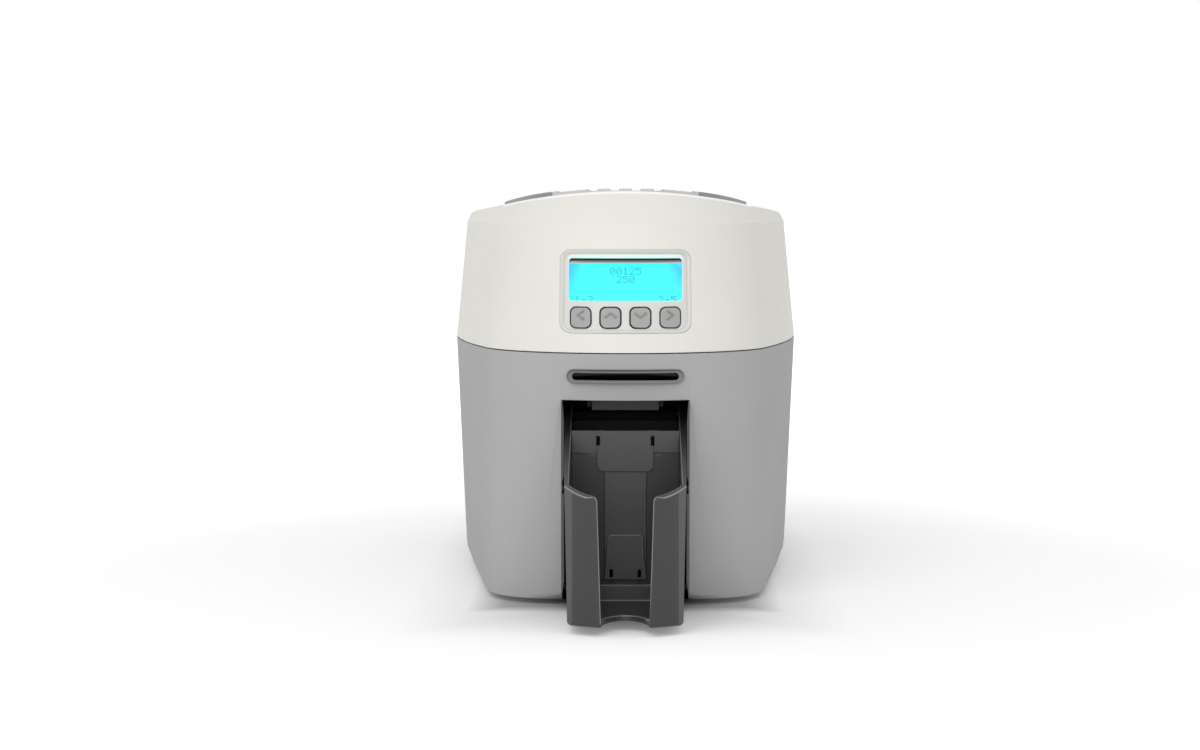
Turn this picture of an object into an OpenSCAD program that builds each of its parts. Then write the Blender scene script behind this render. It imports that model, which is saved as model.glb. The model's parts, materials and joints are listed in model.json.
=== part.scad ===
// Desktop printer for plastic identity cards, in millimetres.
// X points right, Y to the back and Z up. The origin is the middle of the footprint.

/* [Casing] */
// Width across the widest point of the seam
body_w = 208; // [205:1:214]
// Length of the casing from its bowed front to its flat rear
body_l = 370; // [368:1:376]
// Height of the seam between the base and the lid
seam_z = 139; // [138.5:0.5:141]
// Height of the lid's crown
crown_z = 225.6; // [224:0.2:228]
// Distance from the crown down to the crease where the lid's sides turn in
crease_drop = 17.6; // [16:0.2:20]
// Radius of the lid's crown across its width
crown_r = 324; // [310:2:340]
// Radius of the bowed front, seen from above
bow_r = 81; // [78:1:84]
// Distance from the bowed front to the widest point
belly = 243.5; // [238:0.5:248]
// Radius of the rear corners, seen from above
rear_r = 25; // [20:1:30]
// Thickness of the moulded walls
wall = 2.5; // [2.2:0.1:3]
// Gap along the seam
seam_gap = 0.5; // [0.4:0.1:0.8]
// Height of the rubber feet
foot_h = 5; // [4:0.5:6]
// Diameter of a rubber foot
foot_d = 18; // [14:1:20]

/* [Card path] */
// Width of a card
card_w = 54; // [53:0.5:55]
// Thickness of a card
card_t = 0.76; // [0.5:0.02:0.9]
// Height of the card path above the table
path_z = 102; // [101:0.5:103]
// Height of the hand feed slot
slot_z = 126.5; // [125.5:0.5:127.5]
// Opening height of the hand feed slot
slot_h = 4.1; // [3.4:0.1:4.4]
// Distance from the front of the casing to the platen roller
platen_back = 153; // [151:1:156]

/* [Card bin] */
// Distance that the bin stands out in front of the casing
bin_reach = 80; // [76:1:84]
// Side clearance between the card stack and the bin at its floor
bin_gap = 0.4; // [0.3:0.1:0.8]
// Draft of the bin's sides from its floor to the tops of its wings
bin_draft = 1.4; // [1:0.1:1.8]
// Extra width of each side at the bin's back
bin_flare = 1.8; // [1.2:0.1:2]
// Thickness of the bin's walls
bin_wall = 2.2; // [2:0.1:2.6]
// Half the width of the finger gap in the bin's front
finger_w = 12.3; // [10:0.1:14]
// Height of the bin's back panel
stop_z = 97; // [95:0.5:98]
// Height of the bay opening in the front
bay_z = 113.5; // [112.5:0.5:114.5]
// Side clearance between the bin and its bay
bay_gap = 1.6; // [1.4:0.1:2]

/* [Drive] */
// Module of the gear teeth
tooth_m = 1; // [0.98:0.01:1.02]
// Radius of the rubber rollers
roller_r = 7; // [6.5:0.1:7.5]
// Diameter of the roller shafts
shaft_d = 6; // [5:0.5:6.5]
// Face width of the gears
gear_w = 5; // [4:0.5:6]
// Distance between the chassis side plates
chassis_w = 84; // [82:1:88]
// Thickness of the chassis sheet
sheet = 1.5; // [1.2:0.1:2]

/* [Ribbon] */
// Height of the spool axes above the table
spool_z = 140; // [138:0.5:142]
// Radius of the supply roll
supply_r = 21; // [18:0.5:22]
// Radius of the take-up roll
takeup_r = 14; // [12:0.5:15]
// Radius of the spool cores
core_r = 9; // [8:0.5:10]

/* [Lid and controls] */
// Width of the control bezel
bezel_w = 70.2; // [68:0.2:74]
// Height of the control bezel, along the lid's slope
bezel_h = 46; // [45:0.5:48]
// Width of the display window
lcd_w = 61; // [56:0.5:62]
// Height of the display window, along the slope
lcd_h = 24.4; // [22:0.2:25]
// Width of a button
key_w = 10.4; // [9.6:0.2:11.4]
// Height of a button, along the slope
key_h = 10.8; // [10:0.2:11.4]
// Spacing of the buttons
key_pitch = 16; // [15.4:0.1:16.4]
// Travel of a button
key_travel = 1.2; // [0.8:0.1:1.6]
// Radius of the hinge barrel
barrel_r = 7; // [6.5:0.1:7.5]
// Diameter of the hinge pins
pin_d = 4; // [3:0.5:5]
// Travel of the release button
release_travel = 3; // [2.5:0.1:3.5]

/* [Hidden] */

$fn = 48;
// Overrun that keeps a cut clear of the face that it starts from
over = 1;
// Gap between pieces that move past each other
slide = 0.3;
// Radial running clearance of a shaft in its bore
run = 0.05;
// Thickness of the thin slabs that a lofted form is wrapped around
slab_t = 0.01;

// Ends of the object, the casing and the bin
total_l = body_l + bin_reach;
y_rear = total_l / 2;
y_face = y_rear - body_l;
y_bin = -total_l / 2;
y_belly = y_face + belly;
half_w = body_w / 2;
crease_z = crown_z - crease_drop;

// Levels of the base: height, then side, front and rear insets, flat half-width, front corner radius
base_top = seam_z - seam_gap / 2;
base_levels = [
    [base_top, 0, 0, 0, 0, bow_r],
    [foot_h + 20, 5, 20, 2.2, 6, bow_r - 8],
    [foot_h + 9, 5.7, 23, 2.5, 15, bow_r - 19],
    [foot_h + 3, 9, 26.5, 4.5, 30, bow_r - 36],
    [foot_h, 14, 31, 9, 40, bow_r - 44]
];
// Levels of the lid, whose sides turn in at the crease
lid_low = seam_z + seam_gap / 2;
lid_levels = [
    [lid_low, 0, 0, 0, 0, bow_r],
    [crease_z, 6.5, 21, 6, 0, bow_r - 5],
    [crown_z + 3, 23.5, 38, 23, 0, bow_r - 21]
];

// Slot, bin and bay
slot_w = card_w + 3.3;
slot_lip = 2.75;
bin_in = card_w / 2 + bin_gap;
bin_out = bin_in + bin_wall;
bin_wide = bin_out + bin_draft + bin_flare;
bay_in = bin_wide + bay_gap;
bay_wall = 2;
bay_back = y_face + 65;
bin_floor = 8;
bin_under = 4.6;
stop_y = y_face + 11;
stop_t = 2.5;
rail_z = 64;
rail_h = 2;

// Card transport: the rollers, the gears between them and the plates that carry them
y_platen = y_face + platen_back;
roller_teeth = 24;
idler_teeth = 40;
pinion_teeth = 12;
mesh_d = tooth_m * (roller_teeth + idler_teeth) / 2;
y_exit = y_platen - 2 * mesh_d;
y_feed = y_platen + 2 * mesh_d;
y_idler_front = y_platen - mesh_d;
y_idler_rear = y_platen + mesh_d;
roller_z = path_z - roller_r;
motor_z = roller_z - tooth_m * (idler_teeth + pinion_teeth) / 2;
plate_in = chassis_w / 2;
plate_out = plate_in + sheet;
plate_front = y_platen - 88;
plate_back = y_platen + 162;
plate_top = spool_z + 10;
gear_in = plate_out + 1.5;
gear_out = gear_in + gear_w;
pinch_r = 4;
pinch_z = path_z + card_t + 0.14 + pinch_r;
clean_r = 6;
clean_z = path_z + card_t + 0.14 + clean_r;
y_clean = y_platen - 38;
small_d = 4;
bush_d = shaft_d + 4;

// Ribbon: two spools, the film between them and the take-up drive
y_takeup = y_platen - 58;
y_supply = y_platen + 67;
journal_r = 4;
takeup_teeth = 36;
ribbon_mesh = tooth_m * (takeup_teeth + pinion_teeth) / 2;
film_t = 0.3;
film_z = path_z + 0.35;
film_w = 54;

// Floor of the casing, the pan and the deck
floor_z = foot_h + wall;
floor_rim = 30;
pan_z = floor_z + sheet;
deck_z = pan_z + 10;
deck_top = deck_z + sheet;

// Lid hinge along the rear edge
hinge_y = y_rear - barrel_r;
hinge_z = seam_z;
trough_r = barrel_r + 0.4;
knuckle_x = 60;
knuckle_w = 6;

// Slope of the lid's front, and the frame of the controls on it
lean = atan(lid_levels[1][2] / (crease_z - lid_low));
panel_z = lid_low + 0.474 * (crease_z - lid_low);
panel_y = y_face + (panel_z - lid_low) * tan(lean);
lcd_v = 6.8;
key_v = -14.6;
key_gap = 0.7;
bezel_sink = 1.2;
bezel_t = 2;
board_n = -17;
glass_n = -10.4;

// Crown of the lid and the panel on it
crown_axis = crown_z - crown_r;
cap_rise = 1.6;
cap_sink = 0.8;
cap_w = 144;
cap_front = y_face + 20;
cap_inset = 4;
cap_back = y_rear - 50;
zone_w = 70;

// Liner of the lid, print head and latch
liner_z = 168;
liner_t = 2.5;
head_y = y_platen;
head_bottom = path_z + 0.9;
head_flat = 1.2;
pivot_y = y_platen + 26;
pivot_z = path_z + 22;
pivot_d = 3;
cheek_in = 33.5;
latch_y = y_face + 50;
latch_z = seam_z + 11;
latch_d = 5;
hook_x = 55;
striker_y = latch_y + 4;
striker_z = latch_z - 19;
striker_d = 5;
latch_swing = 12.8;
lever_l = release_travel / tan(latch_swing);

// ---- outline of the casing ----

function arc(cx, cy, r, a0, a1, n) =
    [for (i = [0 : n]) let (a = a0 + (a1 - a0) * i / n) [cx + r * cos(a), cy + r * sin(a)]];

// Radius of the long side arc that meets the front corner smoothly at a level
function side_r(w, yf, xc, rc) =
    let (dx = w - xc, dy = y_belly - yf - rc)
    (dx * dx + dy * dy - rc * rc) / (2 * (dx - rc));

// Right half of the outline at a level, pushed inwards by t
function half_outline(level, t) =
    let (
        w = half_w - level[1] - t,
        yf = y_face + level[2] + t,
        yb = y_rear - level[3] - t,
        xc = level[4],
        rc = level[5] - t,
        rr = rear_r - t,
        rs = side_r(w, yf, xc, rc),
        sx = w - rs,
        xr = sx + sqrt(pow(rs - rr, 2) - pow(yb - rr - y_belly, 2)),
        a1 = atan2(yf + rc - y_belly, xc - sx),
        a2 = atan2(yb - rr - y_belly, xr - sx)
    )
    concat(
        arc(xc, yf + rc, rc, -90, a1, 16),
        arc(sx, y_belly, rs, a1, a2, 10),
        arc(xr, yb - rr, rr, a2, 90, 6)
    );

module outline(level, t) {
    half = half_outline(level, t);
    polygon(concat(
        half,
        [for (i = [len(half) - 1 : -1 : 0]) if (half[i][0] > slab_t) [-half[i][0], half[i][1]]]
    ));
}

// Form wrapped around levels, with every wall pushed inwards by t
module wrap(levels, t) {
    hull()
        for (level = levels)
            translate([0, 0, level[0]])
                linear_extrude(slab_t) outline(level, t);
}

module base_form(t) {
    wrap(base_levels, t);
}

// The crown is a cylinder along Y, lowered by t
module lid_form(t) {
    intersection() {
        wrap(lid_levels, t);
        crown(t);
    }
}

module crown(t) {
    translate([0, y_face - over, crown_axis])
        rotate([-90, 0, 0])
            cylinder(r = crown_r - t, h = body_l + 2 * over, $fn = 160);
}

// ---- shared shapes ----

// Rectangle with rounded corners, centred
module rounded(w, h, r) {
    square([w - 2 * r, h], center = true);
    square([w, h - 2 * r], center = true);
    for (x = [-1, 1], y = [-1, 1])
        translate([x * (w / 2 - r), y * (h / 2 - r)]) circle(r, $fn = 32);
}

// Block between two X, two Y and two Z values
module block(x0, x1, y0, y1, z0, z1) {
    translate([x0, y0, z0]) cube([x1 - x0, y1 - y0, z1 - z0]);
}

// The same block on both sides of the middle
module blocks(x0, x1, y0, y1, z0, z1) {
    block(x0, x1, y0, y1, z0, z1);
    block(-x1, -x0, y0, y1, z0, z1);
}

// Rod along X
module rod(x0, x1, y, z, r) {
    translate([x0, y, z]) rotate([0, 90, 0]) cylinder(r = r, h = x1 - x0);
}

// Upright post or bore
module post(x, y, z0, z1, r) {
    translate([x, y, z0]) cylinder(r = r, h = z1 - z0);
}

// Profile in the YZ plane, extruded along X between two values
module side_profile(x0, x1, points) {
    translate([x0, 0, 0])
        rotate([90, 0, 90]) linear_extrude(x1 - x0) polygon(points);
}

// Frame of the controls: X across, Y up the slope, Z out of the lid
module on_panel() {
    translate([0, panel_y, panel_z])
        rotate([90 - lean, 0, 0])
            multmatrix([[1, 0, 0, 0], [0, 1, -tan(lean), 0], [0, 0, 1, 0], [0, 0, 0, 1]])
                children();
}

// ---- gears ----

pressure = 20;
addendum = 0.8;
dedendum = 1.05;
backlash = 0.12;

// Involute function in degrees
function involute(a) = tan(a) * 180 / PI - a;

// Half the angle that a tooth covers at radius r
function tooth_half(teeth, r) =
    let (rp = tooth_m * teeth / 2, rb = rp * cos(pressure))
    90 / teeth - backlash / 4 / rp * 180 / PI + involute(pressure)
        - involute(acos(min(1, rb / r)));

function tooth_radii(teeth) =
    let (rp = tooth_m * teeth / 2, rb = rp * cos(pressure), rf = rp - dedendum * tooth_m)
    [rf, max(rb, rf) + 0.02, rp, rp + addendum * tooth_m];

module gear_outline(teeth) {
    radii = tooth_radii(teeth);
    polygon([
        for (i = [0 : teeth - 1])
            for (side = [-1, 1])
                for (k = [0 : 3])
                    let (
                        r = radii[side < 0 ? k : 3 - k],
                        a = i * 360 / teeth + side * tooth_half(teeth, r)
                    )
                    [r * cos(a), r * sin(a)]
    ]);
}

// Spur gear on an axis along X, its teeth between x0 and x0 + gear_w
module spur(teeth, x0, y, z, phase, bore_r) {
    rf = tooth_m * teeth / 2 - dedendum * tooth_m;
    hub = bore_r + 2.5;
    dish = rf - 2;
    translate([x0, y, z])
        rotate([90, 0, 90])
            difference() {
                rotate([0, 0, phase]) linear_extrude(gear_w) gear_outline(teeth);
                translate([0, 0, -over]) cylinder(r = bore_r, h = gear_w + 2 * over);
                if (dish > hub + 1)
                    for (side = [0, 1])
                        translate([0, 0, side * (gear_w - gear_w / 4)])
                            translate([0, 0, side == 0 ? -over : 0])
                                difference() {
                                    cylinder(r = dish, h = gear_w / 4 + over);
                                    cylinder(r = hub, h = gear_w / 4 + over);
                                }
            }
}

// ---- casing of the base ----

// Straight cut of the slot with round ends, along Y
module slot_cut(w, h, y0, y1) {
    translate([0, y1, slot_z])
        rotate([90, 0, 0])
            linear_extrude(y1 - y0) rounded(w, h, h / 2 - 0.01);
}

rear_in = y_rear - wall - 3;
inlet_x = 38 - half_w;
rocker_x = inlet_x + 32;
power_z = 38;
usb_x = half_w - 50;
net_x = half_w - 34;
board_top = deck_top + 7.6;
usb_h = 11;
net_h = 13.4;
fan_z = 80;
fan_w = 40;
fan_y = y_rear - wall - 1.6;
port_y = y_rear - 2.2;

module rear_openings() {
    // power inlet and switch
    block(inlet_x - 12.5, inlet_x + 12.5, rear_in - 8, y_rear + over, power_z - 8.5, power_z + 8.5);
    block(rocker_x - 6.6, rocker_x + 6.6, rear_in - 8, y_rear + over, power_z - 9.7, power_z + 9.7);
    // data sockets
    block(usb_x - 6.5, usb_x + 6.5, rear_in - 8, y_rear + over,
        board_top - 0.5, board_top + usb_h + 0.5);
    block(net_x - 8.5, net_x + 8.5, rear_in - 8, y_rear + over,
        board_top - 0.5, board_top + net_h + 0.5);
    // grille in front of the fan
    for (i = [-3 : 3])
        translate([0, rear_in - 8, fan_z + i * 5])
            rotate([-90, 0, 0])
                linear_extrude(20) rounded(2 * sqrt(19 * 19 - 25 * i * i), 2.6, 1.2);
    // louvres beside it
    for (side = [-1, 1], i = [-3 : 3])
        translate([side * 52, rear_in - 8, fan_z + i * 5])
            rotate([-90, 0, 0]) linear_extrude(20) rounded(36, 2.6, 1.2);
}

// Cylinder of radius r along the hinge, as wide as the casing
module hinge_roll(r) {
    rod(-half_w, half_w, hinge_y, hinge_z, r);
}

module base_casing() {
    color("#b0b0b0") {
        difference() {
            base_form(0);
            difference() {
                base_form(wall);
                block(-half_w, half_w, y_face, y_rear, 0, floor_z);
                // wall of the trough under the hinge barrel
                intersection() {
                    hinge_roll(trough_r + wall);
                    block(-half_w, half_w, y_face, y_rear, 0, base_top);
                }
                block(-half_w, half_w, hinge_y, y_rear, hinge_z - trough_r - wall, base_top);
            }
            // opening in the floor, closed by the pan
            translate([0, (bay_back + y_rear) / 2, -over])
                linear_extrude(floor_z + 2 * over)
                    rounded(2 * (foot_x - foot_d), y_rear - bay_back - 2 * floor_rim, 12);
            block(-bay_in, bay_in, y_face - over, bay_back + bay_wall, -over, bay_z);
            slot_cut(slot_w, slot_h, y_face - over, y_face + 12);
            // sunk lip of the slot, which follows the bow
            difference() {
                slot_cut(slot_w + 2 * slot_lip, slot_h + 3, y_face - over, y_face + 12);
                wrap([base_levels[0], base_levels[1]], 1.2);
            }
            rear_openings();
            hinge_roll(trough_r);
            block(-half_w, half_w, hinge_y, y_rear + over, hinge_z - trough_r, base_top + over);
        }
        // knuckles that carry the hinge pins
        for (side = [-1, 1])
            difference() {
                union() {
                    rod(side * (knuckle_x + knuckle_w / 2) - knuckle_w / 2 + slide,
                        side * (knuckle_x + knuckle_w / 2) + knuckle_w / 2 - slide,
                        hinge_y, hinge_z, barrel_r - 0.6);
                    translate([side * (knuckle_x + knuckle_w / 2), 0, 0])
                        block(slide - knuckle_w / 2, knuckle_w / 2 - slide,
                            hinge_y - barrel_r + 0.6, hinge_y + 1,
                            hinge_z - trough_r - wall / 2, hinge_z);
                }
                rod(-half_w, half_w, hinge_y, hinge_z, pin_d / 2);
            }
    }
}

module base_pan() {
    color("#8f9396")
        difference() {
            translate([0, 0, floor_z])
                linear_extrude(sheet) outline(base_levels[4], 5);
            block(-bay_in - bay_wall, bay_in + bay_wall, y_face - over, bay_back + bay_wall + slide,
                0, pan_z + over);
            // cooling slots
            for (side = [-1, 1], i = [0 : 6])
                translate([side * (foot_x - foot_d) / 2, y_platen + 20 + i * 12, floor_z - over])
                    linear_extrude(sheet + 2 * over) rounded(foot_x - foot_d - 10, 4, 1.9);
        }
}

foot_x = half_w - 46;
foot_rows = [y_face + 82, y_rear - 32];

module rubber_feet() {
    color("#2b2b2b")
        for (x = [-foot_x, foot_x], y = foot_rows)
            difference() {
                post(x, y, 0, foot_h, foot_d / 2);
                post(x, y, -over, 1.5, foot_d / 2 - 5);
            }
}

// ---- bay, throat and bin ----

// Top of the bay behind its flat part, under the slope of the throat
throat_y0 = y_face + 3.2;
throat_y1 = y_platen - 74;
throat_z1 = path_z + 2.8;
throat_t = 1.2;
throat_open = 3.6;
throat_slope = (slot_z - throat_z1) / (throat_y1 - throat_y0);
bay_flat = y_face + 33;

module hopper_bay() {
    color("#55575a")
        intersection() {
            base_form(wall + 0.05);
            union() {
                blocks(bay_in, bay_in + bay_wall, y_face, bay_back + bay_wall, floor_z + 0.1, bay_z - 10);
                blocks(bay_in, bay_in + bay_wall, y_face, bay_flat, bay_z - 10, bay_z + 1.2);
                block(-bay_in, bay_in, y_face, bay_flat, bay_z, bay_z + 1.2);
                block(-bay_in, bay_in, bay_back, bay_back + bay_wall, floor_z + 0.1, path_z - 4);
                // rails that the bin slides on
                for (z = [rail_z - rail_h - 0.1, rail_z + rail_h + slide])
                    blocks(bin_wide + slide, bay_in, y_face + 12, bay_back, z, z + rail_h);
                // ears of the flap
                difference() {
                    blocks(flap_w + slide, flap_w + slide + 2,
                        flap_y - 2.5, flap_y + 2.5, flap_z - 2.5, bay_z);
                    rod(-bay_in, bay_in, flap_y, flap_z, flap_pin + run);
                }
            }
        }
}

flap_y = y_face + 29;
flap_z = bay_z - 2.2;
flap_w = 18.3;
flap_pin = 0.9;
flap_h = 6;

module exit_flap() {
    color("#6a6c6e") {
        rod(-flap_w, flap_w, flap_y, flap_z, 1.5);
        rod(-flap_w - slide - 2, flap_w + slide + 2, flap_y, flap_z, flap_pin);
        block(-flap_w, flap_w, flap_y - 0.5, flap_y + 0.5, flap_z - flap_h, flap_z);
    }
}

// Band of the throat between two offsets from its sloping centre line
module throat_band(x0, x1, lo, hi) {
    side_profile(x0, x1, [
        [throat_y0, slot_z + lo],
        [throat_y1, throat_z1 + lo],
        [throat_y1, throat_z1 + hi],
        [throat_y0, slot_z + hi]
    ]);
}

module throat_shape() {
    h = throat_open / 2;
    throat_band(-slot_w / 2 - 2, slot_w / 2 + 2, h, h + throat_t);
    throat_band(-slot_w / 2 - 2, slot_w / 2 + 2, -h - throat_t, -h);
    for (side = [-1, 1])
        translate([side * (slot_w / 2 + 1), 0, 0])
            throat_band(-1, 1, -h - throat_t, h + throat_t);
    // arms that reach out to the chassis plates
    for (side = [-1, 1])
        translate([side * (slot_w / 2 + plate_in + 2) / 2, 0, 0])
            block(-(plate_in - slot_w / 2 - 2) / 2, (plate_in - slot_w / 2 - 2) / 2,
                plate_front + 2, plate_front + 10, 108, 112);
}

module feed_throat() {
    color("#3b3d40")
        intersection() {
            base_form(wall + 0.05);
            throat_shape();
        }
}

bin_back = bay_back - 7;
bin_bow = 42;
wing_inner_z = 70.4;
wing_outer_z = 76.9;
bin_rear_z = 107.5;
bow_axis = y_bin + sqrt(bin_bow * bin_bow - finger_w * finger_w);
bin_side_y = bow_axis - sqrt(bin_bow * bin_bow - pow(bin_out + bin_draft, 2));
bow_steps = 10;

// Plan of the bin, bowed at the front, with its front half-width, flare and back end
module bin_plan(bow, w, flare, yb) {
    spread = asin(w / bow);
    polygon([
        for (i = [-bow_steps : bow_steps]) let (a = spread * i / bow_steps)
            [bow * sin(a), bow_axis - bow * cos(a)],
        [w + flare, yb],
        [-w - flare, yb]
    ]);
}

// Extra half-width that the draft brings at a height
function drafted(z) = bin_draft * (z - bin_under) / (wing_outer_z - bin_under);

module bin_outside() {
    hull()
        for (z = [bin_under, bin_rear_z])
            translate([0, 0, z])
                linear_extrude(slab_t)
                    bin_plan(bin_bow, bin_out + drafted(z), bin_flare, bin_back);
}

// Hollow of the bin, grown by g, open at the back and the top
module bin_inside(g) {
    hull()
        for (z = [bin_floor, bin_rear_z + over])
            translate([0, 0, z])
                linear_extrude(slab_t)
                    bin_plan(bin_bow - bin_wall + g, bin_in + drafted(z) + g, 0, bin_back + 5);
}

// Side view that trims the tops of the wings and the side walls
module bin_sides() {
    side_profile(-bin_wide - 3, bin_wide + 3, [
        [y_bin, bin_under],
        [bin_back, bin_under],
        [bin_back, bin_rear_z],
        [bin_side_y, wing_outer_z],
        [y_bin + bin_wall + 0.4, wing_inner_z],
        [y_bin, wing_inner_z]
    ]);
}

// Elliptical finger notch in the front of the floor
notch_l = 22;
// Radius of the upper corners of the finger gap
wing_r = 3.4;
module notch() {
    translate([0, y_bin, bin_under - over])
        linear_extrude(bin_floor) polygon([
            for (i = [-18 : 18]) let (a = i * 5) [finger_w * sin(a), notch_l * cos(a)],
            [finger_w, -over],
            [-finger_w, -over]
        ]);
}

module card_bin() {
    color("#4a4b4d") {
        intersection() {
            bin_sides();
            difference() {
                bin_outside();
                bin_inside(0);
                // finger gap, with its top corners rounded
                block(-finger_w, finger_w, y_bin - over, y_bin + 12, bin_floor - over, bin_rear_z);
                notch();
                for (side = [-1, 1])
                    translate([side * (finger_w + wing_r), y_bin + 6, wing_inner_z + 0.5 - wing_r])
                        rotate([90, 0, 0])
                            linear_extrude(9)
                                difference() {
                                    translate([side * -wing_r, wing_r]) square(2 * wing_r, center = true);
                                    circle(wing_r);
                                }
            }
        }
        // runners on the outside of the side walls
        blocks(bin_out + 0.6, bay_in - slide, stop_y + 7, bin_back, rail_z, rail_z + rail_h);
        intersection() {
            bin_inside(0.5);
            union() {
                // ledge that raises the stack in front of the back panel
                block(-bay_in, bay_in, stop_y - 20, stop_y, bin_floor, ledge_z);
                // cheeks that hold the back panel
                blocks(bin_in - 1, bay_in, stop_y + stop_t, stop_y + stop_t + 3, bin_floor, stop_z - 6);
            }
        }
    }
}

tongue_w = 15.3;
ledge_z = 16.4;
tab_w = 11.5;
module bin_stop() {
    color("#3c3d3f")
        difference() {
            union() {
                intersection() {
                    bin_inside(-0.05);
                    union() {
                        // recessed panel
                        block(-bay_in, bay_in, stop_y + 1, stop_y + stop_t, bin_floor, stop_z);
                        // top band
                        block(-bay_in, bay_in, stop_y, stop_y + stop_t, stop_z - 12, stop_z);
                    }
                }
                // centre column
                block(-11.3, 11.3, stop_y, stop_y + stop_t, ledge_z, stop_z);
                // tongue with rounded lower corners
                translate([0, stop_y + 1, 86])
                    rotate([90, 0, 0]) linear_extrude(2) rounded(2 * tongue_w, 22, 4);
                // lower tab
                translate([0, stop_y + 1, 0])
                    rotate([90, 0, 0]) linear_extrude(1.8)
                        polygon([[-tab_w, 16.5], [tab_w, 16.5], [tab_w - 2, 39], [tab_w - 3.5, 40.6],
                            [3.5 - tab_w, 40.6], [2 - tab_w, 39]]);
            }
            blocks(tongue_w - 1.6, tongue_w + 0.4, stop_y - 2, stop_y + stop_t + over, 89, 94);
            blocks(6.8, 8.4, stop_y - 2, stop_y + stop_t + over, 17.5, 22);
        }
}

// ---- chassis ----

module chassis_plate(side) {
    x0 = side > 0 ? plate_in : -plate_out;
    x1 = side > 0 ? plate_out : -plate_in;
    difference() {
        union() {
            side_profile(x0, x1, [
                [plate_front, deck_top],
                [plate_back, deck_top],
                [plate_back, path_z - 10],
                [y_supply + 30, plate_top],
                [y_takeup - 16, plate_top],
                [plate_front, path_z + 24]
            ]);
            // flange on the deck
            block(side > 0 ? plate_out : -plate_out - 9, side > 0 ? plate_out + 9 : -plate_out,
                plate_front + 4, plate_back, deck_top, deck_top + sheet);
        }
        for (y = [y_exit, y_platen, y_feed])
            rod(x0 - over, x1 + over, y, roller_z, bush_d / 2);
        for (y = [y_exit, y_feed])
            rod(x0 - over, x1 + over, y, pinch_z, small_d / 2 + run);
        rod(x0 - over, x1 + over, y_clean, clean_z, small_d / 2 + run);
        // open slots for the spools
        for (y = [y_takeup, y_supply]) {
            rod(x0 - over, x1 + over, y, spool_z, journal_r + run);
            block(x0 - over, x1 + over, y - journal_r - run, y + journal_r + run,
                spool_z, plate_top + over);
        }
        // windows that lighten the plate
        for (i = [0 : 2])
            translate([x0 - over, y_platen + 42 + i * 38, 52])
                rotate([90, 0, 90]) linear_extrude(sheet + 2 * over) rounded(28, 40, 6);
    }
}

module chassis_left() {
    color("#9a9da0") {
        difference() {
            chassis_plate(-1);
            rod(-plate_out - over, -plate_in + over, y_idler_front, motor_z, 7);
        }
        // studs of the idler gears, each with its shoulder and clip
        for (y = [y_idler_front, y_idler_rear]) {
            rod(-gear_out - 1, -plate_out, y, roller_z, shaft_d / 2);
            rod(-gear_in + 0.2, -plate_out, y, roller_z, shaft_d / 2 + 2);
            rod(-gear_out - 1.2, -gear_out - 0.2, y, roller_z, shaft_d / 2 + 1.5);
        }
    }
}

module chassis_right() {
    color("#9a9da0") chassis_plate(1);
}

post_rows = [plate_front + 20, y_platen + 30, plate_back - 16];

module chassis_deck() {
    color("#a4a7aa") {
        intersection() {
            translate([0, 0, deck_z])
                linear_extrude(sheet) outline(base_levels[2], wall + 1.5);
            block(-half_w, half_w, bay_back + bay_wall + 1, plate_back + 30, deck_z, deck_top);
        }
        for (x = [-plate_in + 6, plate_in - 6], y = post_rows)
            post(x, y, pan_z, deck_z, 4);
    }
}

tie_rows = [[plate_back - 12, 70], [y_platen + 120, 30], [plate_front + 12, 60]];

module tie_bars() {
    color("#c4c7ca") {
        for (p = tie_rows)
            rod(-plate_in, plate_in, p[0], p[1], 3);
        // striker for the lid's hooks, with the arms that carry it forward
        rod(-hook_x - 5, hook_x + 5, striker_y, striker_z, striker_d / 2);
        for (side = [-1, 1])
            translate([side * (plate_out + 1.2), 0, 0])
                side_profile(-1.2, 1.2, [
                    [striker_y - 5, striker_z - 4],
                    [striker_y - 5, striker_z + 4.5],
                    [striker_y + 5, striker_z + 4.5],
                    [plate_front + 18, path_z + 22],
                    [plate_front + 18, path_z + 6],
                    [plate_front + 6, path_z + 6]
                ]);
    }
}

module roller_bushes() {
    color("#e8e4d8")
        for (side = [-1, 1], y = [y_exit, y_platen, y_feed])
            difference() {
                union() {
                    rod(side > 0 ? plate_in - 1.2 : -plate_out,
                        side > 0 ? plate_out : 1.2 - plate_in, y, roller_z, bush_d / 2);
                    rod(side > 0 ? plate_in - 1.2 : -plate_in,
                        side > 0 ? plate_in : 1.2 - plate_in, y, roller_z, bush_d / 2 + 1.5);
                }
                rod(-plate_out - over, plate_out + over, y, roller_z, shaft_d / 2 + run);
            }
}

guide_in = card_w / 2 - 0.8;
guide_runs = [
    [y_exit + 9, y_platen - 9.5], [y_platen + 9.5, y_feed - 9], [y_feed + 9, y_feed + 78]
];

module card_guides() {
    color("#4b4e52")
        for (span = guide_runs)
            difference() {
                blocks(guide_in, plate_in, span[0], span[1], path_z - 2.5, path_z + 2.5);
                // groove that the card's edges run in
                block(-card_w / 2 - 0.3, card_w / 2 + 0.3, span[0] - over, span[1] + over,
                    path_z - 0.2, path_z + card_t + 0.3);
                // relief under the cleaning roller
                rod(-plate_in + 1, plate_in - 1, y_clean, clean_z, clean_r + slide);
            }
}

motor_w = 35;
motor_l = 26;

module drive_motor() {
    color("#3a3c3e") {
        translate([-plate_in, y_idler_front, motor_z])
            rotate([0, 90, 0]) linear_extrude(motor_l) rounded(motor_w, motor_w, 4);
        rod(-gear_in + slide, -plate_in, y_idler_front, motor_z, 5.5);
    }
}

module motor_pinion() {
    color("#d8c27a") {
        spur(pinion_teeth, -gear_out, y_idler_front, motor_z, 0, 1);
        rod(-gear_out, -gear_in + slide - 0.05, y_idler_front, motor_z, 1);
    }
}

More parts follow.
